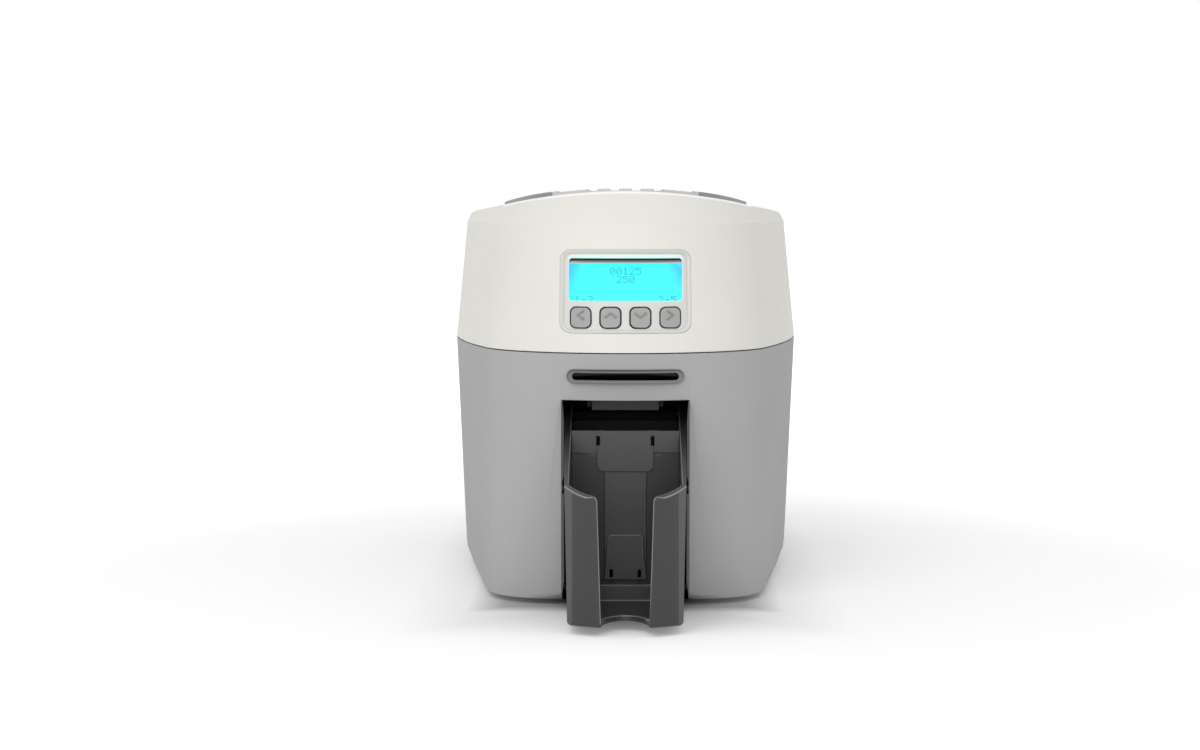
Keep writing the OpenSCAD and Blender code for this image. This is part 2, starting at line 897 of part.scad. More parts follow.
ribbon_y = y_takeup;
ribbon_z = spool_z - ribbon_mesh;

module ribbon_motor() {
    color("#45474a") {
        rod(gear_out + 2, gear_out + 20, ribbon_y, ribbon_z, 12);
        // bracket on two standoffs
        block(gear_out + 1, gear_out + 2, ribbon_y - 13, ribbon_y + 13, ribbon_z - 12, ribbon_z + 4);
        for (dy = [-9.5, 9.5])
            rod(plate_out, gear_out + 1, ribbon_y + dy, ribbon_z - 4.5, 2);
    }
}

module ribbon_pinion() {
    color("#e2ded2") {
        spur(pinion_teeth, gear_in, ribbon_y, ribbon_z, 180 / pinion_teeth, 1);
        rod(gear_in, gear_out + 0.7, ribbon_y, ribbon_z, 1);
    }
}

// ---- rollers ----

roller_l = card_w + 4;

module rubber(y) {
    color("#2f3032")
        difference() {
            rod(-roller_l / 2, roller_l / 2, y, roller_z, roller_r);
            rod(-roller_l / 2 - over, roller_l / 2 + over, y, roller_z, shaft_d / 2);
        }
}

module shaft(y) {
    color("#c9ccd0") {
        rod(-gear_out, plate_out + 3, y, roller_z, shaft_d / 2);
        // clip outside the right plate
        rod(plate_out + slide, plate_out + 1.3, y, roller_z, shaft_d / 2 + 1.5);
    }
}

module roller_gear(y) {
    color("#e2ded2") spur(roller_teeth, -gear_out, y, roller_z, 0, shaft_d / 2);
}

module platen_rubber() { rubber(y_platen); }
module platen_shaft() { shaft(y_platen); }
module platen_gear() { roller_gear(y_platen); }
module exit_rubber() { rubber(y_exit); }
module exit_shaft() { shaft(y_exit); }
module exit_gear() { roller_gear(y_exit); }
module feed_rubber() { rubber(y_feed); }
module feed_shaft() { shaft(y_feed); }
module feed_gear() { roller_gear(y_feed); }

module idler(y) {
    color("#e2ded2")
        spur(idler_teeth, -gear_out, y, roller_z, 180 / idler_teeth, shaft_d / 2 + run);
}

module idler_front() { idler(y_idler_front); }
module idler_rear() { idler(y_idler_rear); }

// Small roller whose journals run in the chassis plates
module small_roller(y, z, r, half_l) {
    rod(-half_l, half_l, y, z, r);
    rod(-plate_out - 1, plate_out + 1, y, z, small_d / 2);
}

module pinch_front() { color("#5a5c5f") small_roller(y_exit, pinch_z, pinch_r, 24); }
module pinch_rear() { color("#5a5c5f") small_roller(y_feed, pinch_z, pinch_r, 24); }
module cleaning_roller() { color("#3f6fae") small_roller(y_clean, clean_z, clean_r, card_w / 2); }

// ---- ribbon ----

spool_in = plate_in - 1;

module spool(y, flange_r) {
    rod(-spool_in, spool_in, y, spool_z, core_r);
    rod(-plate_out - 3, plate_out + 3, y, spool_z, journal_r);
    for (side = [-1, 1])
        translate([side * (film_w / 2 + 2.5), 0, 0])
            rod(-1, 1, y, spool_z, flange_r);
}

module supply_spool() {
    color("#e9e9e6") spool(y_supply, supply_r);
}

module take_up_spool() {
    color("#e9e9e6") {
        spool(y_takeup, takeup_r);
        spur(takeup_teeth, gear_in, y_takeup, spool_z, 0, journal_r - 0.5);
    }
}

// Roll of film wound on a core
module film_roll(y, r) {
    difference() {
        rod(-film_w / 2, film_w / 2, y, spool_z, r);
        rod(-film_w / 2 - over, film_w / 2 + over, y, spool_z, core_r);
    }
}

module supply_film() { color("#d9b23a") film_roll(y_supply, supply_r - 1); }
module take_up_film() { color("#5a3f78") film_roll(y_takeup, takeup_r - 1); }

// Lowest point of a roll as the film meets it, just clear of the roll
function film_end(y, r, side) =
    let (dy = y - y_platen, dz = spool_z - film_z, d = norm([dy, dz]),
        a = atan2(dz, dy) - side * asin((r + slide) / d),
        l = sqrt(d * d - pow(r + slide, 2)))
    [y_platen + l * cos(a), film_z + l * sin(a)];

module ribbon_film() {
    back = film_end(y_supply, supply_r - 1, 1);
    front = film_end(y_takeup, takeup_r - 1, -1);
    // stretch that lies flat under the edge of the head
    flat = head_flat + slide;
    color("#c88a2e")
        side_profile(-film_w / 2, film_w / 2, [
            front, [y_platen - flat, film_z], [y_platen + flat, film_z], back,
            back + [0, film_t], [y_platen + flat, film_z + film_t],
            [y_platen - flat, film_z + film_t], front + [0, film_t]
        ]);
}

// ---- electronics ----

module mainboard() {
    bx = plate_out + 3;
    board_x = half_w - 21.5;
    color("#2f6b46") {
        block(bx, board_x, y_platen - 20, port_y - 12, deck_top + 6, board_top);
        for (x = [bx + 10, board_x - 4], y = [y_platen - 14, plate_back - 10])
            post(x, y, deck_top, deck_top + 6, 2.5);
    }
    color("#26282a") {
        // processor, memory and drivers
        block(bx + 9, bx + 27, y_platen + 60, y_platen + 78, board_top, deck_top + 9.8);
        for (i = [0 : 2])
            block(bx + 6 + i * 9, bx + 12 + i * 9, y_platen + 86, y_platen + 98,
                board_top, deck_top + 9);
        for (i = [0 : 3])
            block(bx + 5 + i * 7, bx + 10 + i * 7, y_platen + 20, y_platen + 25,
                board_top, deck_top + 9);
        for (i = [0 : 2])
            post(bx + 8 + i * 10, y_platen, board_top, deck_top + 19, 4);
    }
    color("#e6e3da")
        for (i = [0 : 2])
            block(bx + 30, bx + 35, y_platen + 30 + i * 16, y_platen + 42 + i * 16,
                board_top, deck_top + 14);
}

module power_supply() {
    x0 = 16.5 - half_w;
    x1 = -plate_out - 12;
    color("#b8bbbe")
        difference() {
            block(x0, x1, y_platen + 12, y_platen + 142, deck_top, deck_top + 38);
            block(x0 + 1.5, x1 - 1.5, y_platen + 13.5, y_platen + 140.5, deck_top + 1.5, deck_top + 36.5);
            for (i = [0 : 9])
                translate([(x0 + x1) / 2, y_platen + 26 + i * 11, deck_top + 30])
                    linear_extrude(12) rounded(x1 - x0 - 8, 5, 2.4);
        }
    color("#3d4a3f")
        block(x0 + 1.5, x1 - 1.5, y_platen + 16, y_platen + 138, deck_top + 5, deck_top + 7);
    color("#c9a23a")
        for (i = [0 : 2])
            block(x0 + 7, x1 - 7, y_platen + 28 + i * 34, y_platen + 50 + i * 34,
                deck_top + 7, deck_top + 28);
}

module power_inlet() {
    color("#1f2022") {
        difference() {
            union() {
                block(inlet_x - 12.2, inlet_x + 12.2, port_y - 22, port_y + 0.5, power_z - 8.2, power_z + 8.2);
                block(inlet_x - 15, inlet_x + 15, port_y + 0.4, y_rear, power_z - 11, power_z + 11);
            }
            block(inlet_x - 10.2, inlet_x + 10.2, port_y - 14, y_rear + over, power_z - 6.5, power_z + 6.5);
        }
        // frame of the switch
        difference() {
            union() {
                block(rocker_x - 6.4, rocker_x + 6.4, port_y - 14, port_y + 0.5, power_z - 9.5, power_z + 9.5);
                block(rocker_x - 8, rocker_x + 8, port_y + 0.4, y_rear - 0.8, power_z - 11, power_z + 11);
            }
            block(rocker_x - 5, rocker_x + 5, port_y - 12, y_rear, power_z - 8.6, power_z + 8.6);
        }
        for (x = [rocker_x - 5.2, rocker_x + 3.8])
            rod(x, x + 1.4, rocker_y - 2, power_z, 1 - run);
    }
    color("#d8d8d8")
        for (p = [[-7, -1], [7, -1], [0, 2]])
            block(inlet_x + p[0] - 1, inlet_x + p[0] + 1, port_y - 14.1, port_y - 3,
                power_z + p[1] - 2, power_z + p[1] + 2);
}

rocker_y = port_y - 2;
module power_rocker() {
    color("#17181a")
        difference() {
            side_profile(rocker_x - 4.7, rocker_x + 4.7, [
                [rocker_y - 5, power_z - 5],
                [rocker_y + 0.4, power_z - 7.4],
                [rocker_y + 3.4, power_z - 7.4],
                [rocker_y + 1.6, power_z],
                [rocker_y + 1.9, power_z + 7.4],
                [rocker_y - 1.6, power_z + 7.4],
                [rocker_y - 5, power_z + 3]
            ]);
            rod(rocker_x - 6, rocker_x + 6, rocker_y - 2, power_z, 1);
        }
}

module data_ports() {
    color("#d5d8da") {
        difference() {
            block(usb_x - 6, usb_x + 6, port_y - 16, port_y + 0.4, board_top, board_top + usb_h);
            block(usb_x - 4.3, usb_x + 4.3, port_y - 9, port_y + over, board_top + 2, board_top + 9.5);
        }
        block(usb_x - 3, usb_x + 3, port_y - 9.1, port_y - 1, board_top + 4, board_top + 7.5);
        difference() {
            block(net_x - 8, net_x + 8, port_y - 20, port_y + 0.4, board_top, board_top + net_h);
            block(net_x - 6, net_x + 6, port_y - 12, port_y + over, board_top + 2, board_top + 11);
        }
    }
}

module fan_frame() {
    color("#222426")
        difference() {
            block(-fan_w / 2, fan_w / 2, fan_y - 10, fan_y, fan_z - fan_w / 2, fan_z + fan_w / 2);
            difference() {
                translate([0, fan_y + over, fan_z]) rotate([90, 0, 0]) cylinder(r = 19, h = 12);
                // hub seat on four arms, with its axle
                translate([0, fan_y, fan_z]) rotate([90, 0, 0]) cylinder(r = 9, h = 1.5);
                for (a = [45 : 90 : 315])
                    translate([0, fan_y - 1.5, fan_z]) rotate([0, a, 0]) block(0, 20, 0, 1.5, -1, 1);
                translate([0, fan_y, fan_z]) rotate([90, 0, 0]) cylinder(r = 1.5, h = 8);
            }
            for (x = [-16, 16], z = [-16, 16])
                translate([x, fan_y + over, fan_z + z]) rotate([90, 0, 0]) cylinder(r = 1.7, h = 12);
        }
}

module fan_rotor() {
    color("#2e3033")
        difference() {
            union() {
                translate([0, fan_y - 1.9, fan_z]) rotate([90, 0, 0]) cylinder(r = 10, h = 7.4);
                for (i = [0 : 6])
                    translate([0, fan_y - 5.6, fan_z])
                        rotate([0, i * 360 / 7, 0])
                            rotate([32, 0, 0]) block(9, 18, -0.5, 0.5, -3.6, 3.6);
            }
            translate([0, fan_y, fan_z]) rotate([90, 0, 0]) cylinder(r = 1.5 + run, h = 8.2);
        }
}

module hinge_pins() {
    color("#c9ccd0")
        for (side = [-1, 1])
            translate([side * (knuckle_x + knuckle_w / 2), 0, 0])
                rod(-knuckle_w / 2 - 9, knuckle_w / 2 + 9, hinge_y, hinge_z, pin_d / 2);
}

// ---- lid ----

boss_rows = [y_face + 75, y_platen + 30, y_rear - 62];
boss_x = 62;

module lid_cover() {
    color("#e8e6e0") {
        difference() {
            lid_form(0);
            lid_form(wall);
            // the shell is open underneath
            intersection() {
                wrap(lid_levels, wall);
                block(-half_w, half_w, y_face, y_rear, 0, crease_z);
            }
            block(-half_w, half_w, y_face, y_rear, 0, lid_low);
            // pocket and cut-out for the controls
            on_panel() translate([0, 0, -30]) linear_extrude(60) rounded(bezel_w + 0.3, bezel_h + 0.3, 6);
            // recess and openings of the top panel
            intersection() {
                difference() {
                    crown(-10);
                    crown(cap_sink);
                }
                cap_prism(0.1);
            }
            release_hole(0.4);
            // room for the hinge knuckles
            for (side = [-1, 1])
                translate([side * (knuckle_x + knuckle_w / 2), 0, 0])
                    rod(-knuckle_w / 2, knuckle_w / 2, hinge_y, hinge_z, barrel_r + 0.2);
        }
        // barrel of the hinge, trimmed by the lid's own outline
        difference() {
            intersection() {
                hinge_roll(barrel_r);
                translate([0, 0, hinge_z - barrel_r - over])
                    linear_extrude(2 * barrel_r + 2 * over) outline(lid_levels[0], 0.2);
            }
            hinge_roll(pin_d / 2 + run);
            for (side = [-1, 1])
                translate([side * (knuckle_x + knuckle_w / 2), 0, 0])
                    rod(-knuckle_w / 2, knuckle_w / 2, hinge_y, hinge_z, barrel_r + 0.2);
        }
        // bosses that carry the liner
        intersection() {
            lid_form(wall / 2);
            for (x = [-boss_x, boss_x], y = boss_rows)
                post(x, y, liner_z + liner_t, crown_z, 4);
        }
    }
}

// Upright prism of the top panel's outline, grown by g
module cap_prism(g) {
    translate([0, 0, crown_z - 30])
        linear_extrude(60)
            intersection() {
                outline(lid_levels[2], cap_inset - g);
                translate([0, (cap_front + cap_back) / 2])
                    rounded(cap_w + 2 * g, cap_back - cap_front + 2 * g, 12);
            }
}

release_y = latch_y + lever_l;
release_w = 30;
release_l = 22;

// Opening for the release button, grown by g
module release_hole(g) {
    translate([0, release_y, crown_z - 20])
        linear_extrude(40) rounded(release_w + 2 * g, release_l + 2 * g, 4);
}

module top_panel() {
    color("#8e9092")
        difference() {
            intersection() {
                cap_prism(0);
                difference() {
                    crown(-cap_rise);
                    crown(cap_sink);
                }
            }
            // lowered centre with ribs along it
            difference() {
                translate([0, (cap_front + cap_back) / 2, crown_z + 0.2])
                    linear_extrude(10) rounded(zone_w, cap_back - cap_front + 40, 2);
                for (i = [-2 : 2])
                    block(i * 12 - 3.5, i * 12 + 3.5, cap_front - over, cap_back + over,
                        crown_z, crown_z + cap_rise - 0.2);
            }
            release_hole(0.4);
        }
}

// Drawn pressed, with its flange under the lid and its rod on the latch's lever
module release_button() {
    flange_z = crown_z - wall - 0.8 - release_travel - 1.5;
    tip_z = latch_z + latch_d / 2 + slide - release_travel + 2.5;
    color("#a9abad") {
        intersection() {
            release_hole(0);
            difference() {
                crown(-0.4);
                crown(4);
            }
        }
        translate([0, release_y, tip_z]) sphere(2.5);
        post(0, release_y, tip_z, crown_z - 1, 2.5);
        translate([0, release_y, flange_z])
            linear_extrude(1.5) rounded(release_w + 4, release_l + 4, 4);
        blocks(release_w / 2 - 4, release_w / 2 - 2, release_y - 5, release_y + 5,
            flange_z + 0.5, crown_z - 2);
    }
}

module window_prism(w, h, v, n0, n1, r) {
    on_panel() translate([0, v, n0]) linear_extrude(n1 - n0) rounded(w, h, r);
}

module key_prisms(g, n0, n1) {
    for (i = [0 : 3])
        key_prism(i, g, n0, n1);
}

module key_prism(i, g, n0, n1) {
    on_panel()
        translate([(i - 1.5) * key_pitch, key_v, n0])
            linear_extrude(n1 - n0) rounded(key_w + 2 * g, key_h + 2 * g, 3 + g / 2);
}

module control_bezel() {
    color("#e4e2dc")
        difference() {
            union() {
                // bowed face plate
                intersection() {
                    window_prism(bezel_w, bezel_h, 0, -20, 12, 6);
                    difference() {
                        wrap(lid_levels, bezel_sink);
                        wrap(lid_levels, bezel_sink + bezel_t);
                    }
                }
                // flange behind the lid's wall
                difference() {
                    intersection() {
                        window_prism(bezel_w + 10, bezel_h + 8, 0, -24, 12, 8);
                        wrap(lid_levels, wall + 0.05);
                    }
                    wrap(lid_levels, wall + 1.6);
                    window_prism(bezel_w - 3, bezel_h - 3, 0, -30, 20, 5);
                }
                // shroud of the display and posts of the board
                intersection() {
                    wrap(lid_levels, bezel_sink + bezel_t / 2);
                    union() {
                        window_prism(lcd_w + 2.6, lcd_h + 2.6, lcd_v, glass_n, 4, 2);
                        for (x = [-1, 1], v = [-19.5, 19.5])
                            on_panel() translate([x * (bezel_w / 2 - 2), v, board_n + 1.6])
                                cylinder(r = 2, h = 20);
                    }
                }
            }
            window_prism(lcd_w, lcd_h, lcd_v, -30, 20, 1.4);
            key_prisms(key_gap, -30, 20);
        }
}

module lcd_panel() {
    color("#48f4f8") window_prism(lcd_w + 1, lcd_h + 2.6, lcd_v, glass_n - 2.8, glass_n, 0.6);
}

module control_board() {
    color("#2f6b46") window_prism(bezel_w + 2, bezel_h - 1, 0, board_n, board_n + 1.6, 2);
    // frame of the display and its back
    color("#3a3c3e") window_prism(lcd_w + 1, lcd_h + 2, lcd_v, board_n + 1.6, glass_n - 2.8, 0.6);
    color("#202224")
        for (i = [0 : 3])
            on_panel() translate([(i - 1.5) * key_pitch, key_v, board_n + 1.6])
                linear_extrude(key_back - key_travel - 0.3 - board_n - 1.6) rounded(6, 6, 0.5);
}

// Back of a button's flange, measured out of the lid
key_back = -11.4;

module button(i) {
    color("#b0afaf") {
        intersection() {
            key_prism(i, 0, key_back, 12);
            wrap(lid_levels, 0.3);
        }
        key_prism(i, 0.9, key_back, key_back + 1.2);
    }
}

module button_left() { button(0); }
module button_up() { button(1); }
module button_down() { button(2); }
module button_right() { button(3); }

liner_front = y_face + 41;
liner_back = y_rear - 30;
lug_x = 40;

module lid_liner() {
    color("#c9c9c6") {
        difference() {
            intersection() {
                wrap(lid_levels, wall + 0.4);
                block(-half_w, half_w, liner_front, liner_back, liner_z, liner_z + liner_t);
            }
            post(0, release_y, liner_z - over, liner_z + liner_t + over, 4);
        }
        // ribs that stiffen it
        for (x = [-30, 0, 30])
            block(x - 1, x + 1, y_platen + 60, liner_back - 4, liner_z + liner_t, liner_z + liner_t + 8);
        // lugs of the latch shaft
        for (side = [-1, 1])
            difference() {
                translate([side * lug_x, 0, 0])
                    block(-2, 2, latch_y - 5, latch_y + 5, latch_z - 5, liner_z);
                rod(-half_w, half_w, latch_y, latch_z, latch_d / 2 + run);
            }
        // tongues that keep the spools down in their slots
        for (y = [y_takeup, y_supply])
            blocks(plate_in + 0.1, plate_out - 0.1, y - 3, y + 3, spool_z + journal_r + slide, liner_z);
    }
}

module latch_bar() {
    color("#6a6d70")
        translate([0, latch_y, latch_z])
            rotate([-latch_swing, 0, 0])
                translate([0, -latch_y, -latch_z]) latch_shape();
}

// The latch with its hooks under the striker
module latch_shape() {
    union() {
        rod(-hook_x - 3, hook_x + 3, latch_y, latch_z, latch_d / 2);
        for (side = [-1, 1])
            translate([side * hook_x, 0, 0])
                side_profile(-2, 2, [
                    [latch_y - 5, latch_z + 4],
                    [latch_y + 4, latch_z + 4],
                    [latch_y + 4, latch_z - 5],
                    [latch_y + 1, latch_z - 7],
                    [latch_y + 1, striker_z - striker_d / 2 - 0.4],
                    [latch_y + 5, striker_z - striker_d / 2 - 0.4],
                    [latch_y + 1, striker_z - striker_d / 2 - 5],
                    [latch_y - 4, striker_z - striker_d / 2 - 5]
                ]);
        // lever under the release button
        side_profile(-4, 4, [
            [latch_y - 3, latch_z - 3],
            [latch_y - 3, latch_z + latch_d / 2],
            [release_y + 4, latch_z + latch_d / 2],
            [release_y + 4, latch_z - 1],
            [latch_y + 3, latch_z - 3.5]
        ]);
    }
}

module head_carrier() {
    color("#75797c") {
        blocks(cheek_in, cheek_in + 2.5, y_platen - 4, pivot_y + 8, pivot_z - 8, liner_z);
        block(-cheek_in, cheek_in, y_platen - 4, pivot_y + 8, liner_z - 3, liner_z);
        // pivots of the head, and the springs that press it down
        rod(-cheek_in, -cheek_in + 2.5, pivot_y, pivot_z, pivot_d / 2);
        rod(cheek_in - 2.5, cheek_in, pivot_y, pivot_z, pivot_d / 2);
    }
}

fin_top = path_z + 30;

module print_head() {
    color("#b4b8bb") {
        block(-30, 30, y_platen - 8, y_platen + 18, path_z + 7, path_z + 16);
        for (i = [-7 : 7])
            block(i * 4 - 0.7, i * 4 + 0.7, y_platen - 8, y_platen + 18, path_z + 16, fin_top);
        // ears on the pivots
        difference() {
            blocks(30, cheek_in - slide, y_platen + 6, pivot_y + 5, path_z + 8, pivot_z + 5);
            rod(-cheek_in, cheek_in, pivot_y, pivot_z, pivot_d / 2 + run);
        }
    }
}

module head_edge() {
    color("#d9d2c0")
        side_profile(-29, 29, [
            [head_y - 3.5, path_z + 7],
            [head_y - head_flat, head_bottom],
            [head_y + head_flat, head_bottom],
            [head_y + 12, path_z + 6],
            [head_y + 12, path_z + 7]
        ]);
}

base_casing();
base_pan();
rubber_feet();
hopper_bay();
feed_throat();
chassis_left();
chassis_right();
chassis_deck();
tie_bars();
roller_bushes();
card_guides();
drive_motor();
ribbon_motor();
mainboard();
power_supply();
power_inlet();
data_ports();
fan_frame();
ribbon_film();
hinge_pins();
platen_rubber();
platen_shaft();
platen_gear();
exit_rubber();
exit_shaft();
exit_gear();
feed_rubber();
feed_shaft();
feed_gear();
idler_front();
idler_rear();
motor_pinion();
pinch_front();
pinch_rear();
cleaning_roller();
supply_spool();
supply_film();
take_up_spool();
take_up_film();
ribbon_pinion();
fan_rotor();
power_rocker();
card_bin();
bin_stop();
exit_flap();
lid_cover();
top_panel();
control_bezel();
lcd_panel();
control_board();
lid_liner();
head_carrier();
print_head();
head_edge();
latch_bar();
release_button();
button_left();
button_up();
button_down();
button_right();
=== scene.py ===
"""Dressed scene of a desktop printer for plastic identity cards, in metres."""

import json
import logging
import math
from dataclasses import dataclass, field
from enum import Enum
from typing import Callable, Sequence

import bmesh
import bpy
from mathutils import Matrix, Vector


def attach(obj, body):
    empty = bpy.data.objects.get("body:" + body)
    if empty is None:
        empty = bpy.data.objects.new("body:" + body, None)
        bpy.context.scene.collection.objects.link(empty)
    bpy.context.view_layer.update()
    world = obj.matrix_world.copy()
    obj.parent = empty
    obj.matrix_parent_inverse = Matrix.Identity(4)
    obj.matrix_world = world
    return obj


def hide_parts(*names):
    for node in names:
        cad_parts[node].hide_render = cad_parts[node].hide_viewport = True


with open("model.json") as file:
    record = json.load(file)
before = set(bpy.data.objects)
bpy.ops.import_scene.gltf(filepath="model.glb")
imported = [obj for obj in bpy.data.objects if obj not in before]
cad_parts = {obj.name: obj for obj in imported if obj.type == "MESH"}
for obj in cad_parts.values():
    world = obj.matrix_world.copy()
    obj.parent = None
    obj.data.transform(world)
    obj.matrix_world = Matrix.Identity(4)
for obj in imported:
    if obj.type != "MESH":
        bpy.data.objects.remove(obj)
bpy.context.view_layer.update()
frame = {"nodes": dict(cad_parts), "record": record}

LOG = logging.getLogger("card_printer")
Point = tuple[float, float, float]
Colour = tuple[float, float, float]
Pair = tuple[float, float]
Test = Callable[[Vector], bool]
Socket = bpy.types.NodeSocket
BMesh = bmesh.types.BMesh
BMVert = bmesh.types.BMVert


def share_of(value: float) -> float:
    """Returns a value held from 0 to 1."""
    return max(0.0, min(1.0, value))


def stand(name: str, data: bpy.types.ID) -> bpy.types.Object:
    """Returns a new object in the scene."""
    made = bpy.data.objects.new(name, data)
    bpy.context.scene.collection.objects.link(made)
    return made


# ---- finishes


class Surface(Enum):
    """What kind of surface a finish describes."""

    MOULDED = "moulded"
    BRUSHED = "brushed"
    TURNED = "turned"
    BOARD = "board"
    FILM = "film"
    GLOW = "glow"


def linear(colour: Colour) -> tuple[float, float, float, float]:
    """Returns the scene-linear RGBA of a colour that is written as it looks on a screen."""
    parts = [c / 12.92 if c <= 0.04045 else ((c + 0.055) / 1.055) ** 2.4 for c in colour]
    return parts[0], parts[1], parts[2], 1.0


class Graph:
    """A node tree with short calls for its nodes and links."""

    def __init__(self, tree: bpy.types.NodeTree) -> None:
        """Keeps the tree."""
        self.tree = tree

    @classmethod
    def emptied(cls, owner: bpy.types.Material | bpy.types.World) -> "Graph":
        """Returns the graph of a material or a world, with no node in it."""
        owner.use_nodes = True
        owner.node_tree.nodes.clear()
        return cls(owner.node_tree)

    def node(self, kind: str, values: dict | None = None, **props: object) -> bpy.types.Node:
        """Adds and returns a node.

        Args:
            kind: Type name without its ShaderNode prefix.
            values: Input names or indices and the values or sockets that feed them.
            props: Properties of the node itself.
        """
        made = self.tree.nodes.new("ShaderNode" + kind)
        for name, value in props.items():
            setattr(made, name, value)
        for name, value in (values or {}).items():
            if isinstance(value, Socket):
                self.tree.links.new(value, made.inputs[name])
            else:
                made.inputs[name].default_value = value
        return made

    def math(self, operation: str, a: object, b: object = 0.0, clamp: bool = False) -> Socket:
        """Returns the result of a Math node on two values or sockets."""
        return self.node("Math", {0: a, 1: b}, operation=operation, use_clamp=clamp).outputs[0]

    def times(self, a: object, b: object, clamp: bool = False) -> Socket:
        """Returns the product of two values or sockets."""
        return self.math("MULTIPLY", a, b, clamp)

    def minus(self, a: object, b: object) -> Socket:
        """Returns the difference of two values or sockets."""
        return self.math("SUBTRACT", a, b)

    def scaled(self, value: object, factor: object, offset: object = 0.0) -> Socket:
        """Returns a value times a factor, plus an offset."""
        values = {0: value, 1: factor, 2: offset}
        return self.node("Math", values, operation="MULTIPLY_ADD").outputs[0]

    def mix(self, mask: object, a: object, b: object) -> Socket:
        """Returns the colour between a and b that a mask picks."""
        made = self.node("Mix", {"Factor": mask, 6: a, 7: b}, data_type="RGBA")
        return made.outputs[2]

    def span(
        self, value: object, low: float, high: float, start: float = 0.0, end: float = 1.0
    ) -> Socket:
        """Returns a value mapped from low..high to start..end and held there."""
        made = self.node("MapRange", {0: value, 1: low, 2: high, 3: start, 4: end}, clamp=True)
        return made.outputs[0]

    def noise(self, place: Socket, scale: object, detail: float, **more: float) -> Socket:
        """Returns a noise of this scale and detail."""
        made = self.node("TexNoise", {"Vector": place, "Scale": scale, "Detail": detail, **more})
        return made.outputs["Fac"]

    def axes(self, place: Socket) -> tuple[Socket, Socket, Socket]:
        """Returns the three parts of a vector."""
        split = self.node("SeparateXYZ", {0: place})
        return split.outputs["X"], split.outputs["Y"], split.outputs["Z"]


class SharedEffects:
    """Shader node groups that several finishes place with their own value."""

    @staticmethod
    def mould_grain(g: Graph, place: Socket, size: Socket) -> dict[str, Socket]:
        """Lays the spark-eroded texture of a mould at the grain's size, with a cloudy tint."""
        pitch = g.math("DIVIDE", 1.0, size)
        fine = g.noise(place, pitch, 3.0, Roughness=0.6)
        pits = g.node("TexVoronoi", {"Vector": place, "Scale": g.times(pitch, 0.6)})
        return {
            "Height": g.scaled(pits.outputs["Distance"], 0.35, fine),
            "Tint": g.noise(place, 17.0, 2.0),
        }

    @staticmethod
    def edge_wear(g: Graph, place: Socket, reach: Socket) -> dict[str, Socket]:
        """Lays the rub of outer edges, where a rounded normal leaves the true one."""
        rounded = g.node("Bevel", {"Radius": reach}, samples=4).outputs[0]
        true = g.node("NewGeometry").outputs["Normal"]
        same = g.node("VectorMath", {0: rounded, 1: true}, operation="DOT_PRODUCT")
        edge = g.span(same.outputs["Value"], 0.995, 0.86)
        return {"Mask": g.times(edge, g.span(g.noise(place, 260.0, 3.0), 0.38, 0.62), clamp=True)}

    @staticmethod
    def settled_dust(g: Graph, place: Socket, amount: Socket) -> dict[str, Socket]:
        """Lays clouds of dust on faces that look up."""
        up = g.span(g.axes(g.node("NewGeometry").outputs["Normal"])[2], 0.55, 1.0)
        lying = g.times(up, g.span(g.noise(place, 55.0, 5.0), 0.35, 0.75))
        return {"Mask": g.times(lying, amount, clamp=True)}

    @staticmethod
    def draw_lines(g: Graph, place: Socket, pitch: Socket) -> dict[str, Socket]:
        """Lays the long fine lines of rolled, ground or turned metal, along X."""
        stretch = g.node("VectorMath", {0: place, 1: (0.03, 1.0, 1.0)}, operation="MULTIPLY")
        lines = g.noise(stretch.outputs[0], pitch, 3.0)
        return {"Height": lines, "Tint": g.noise(place, 30.0, 3.0)}

    @staticmethod
    def place(
        g: Graph, effect: Callable[[Graph, Socket, Socket], dict[str, Socket]],
        place: Socket, amount: float,
    ) -> bpy.types.Node:
        """Places the group of an effect, made at its first use, and returns its node.

        Args:
            g: Graph of the material.
            effect: Lays the group's nodes and returns its outputs.
            place: Object coordinates.
            amount: The effect's own value.
        """
        name = effect.__name__
        tree = bpy.data.node_groups.get(name)
        if tree is None:
            tree = bpy.data.node_groups.new(name, "ShaderNodeTree")
            for label, kind in (("Vector", "NodeSocketVector"), ("Amount", "NodeSocketFloat")):
                tree.interface.new_socket(label, in_out="INPUT", socket_type=kind)
            entry = tree.nodes.new("NodeGroupInput").outputs
            results = effect(Graph(tree), entry["Vector"], entry["Amount"])
            for label in results:
                tree.interface.new_socket(label, in_out="OUTPUT", socket_type="NodeSocketFloat")
            leave = tree.nodes.new("NodeGroupOutput")
            for label, socket in results.items():
                tree.links.new(socket, leave.inputs[label])
        return g.node("Group", {"Vector": place, "Amount": amount}, node_tree=tree)


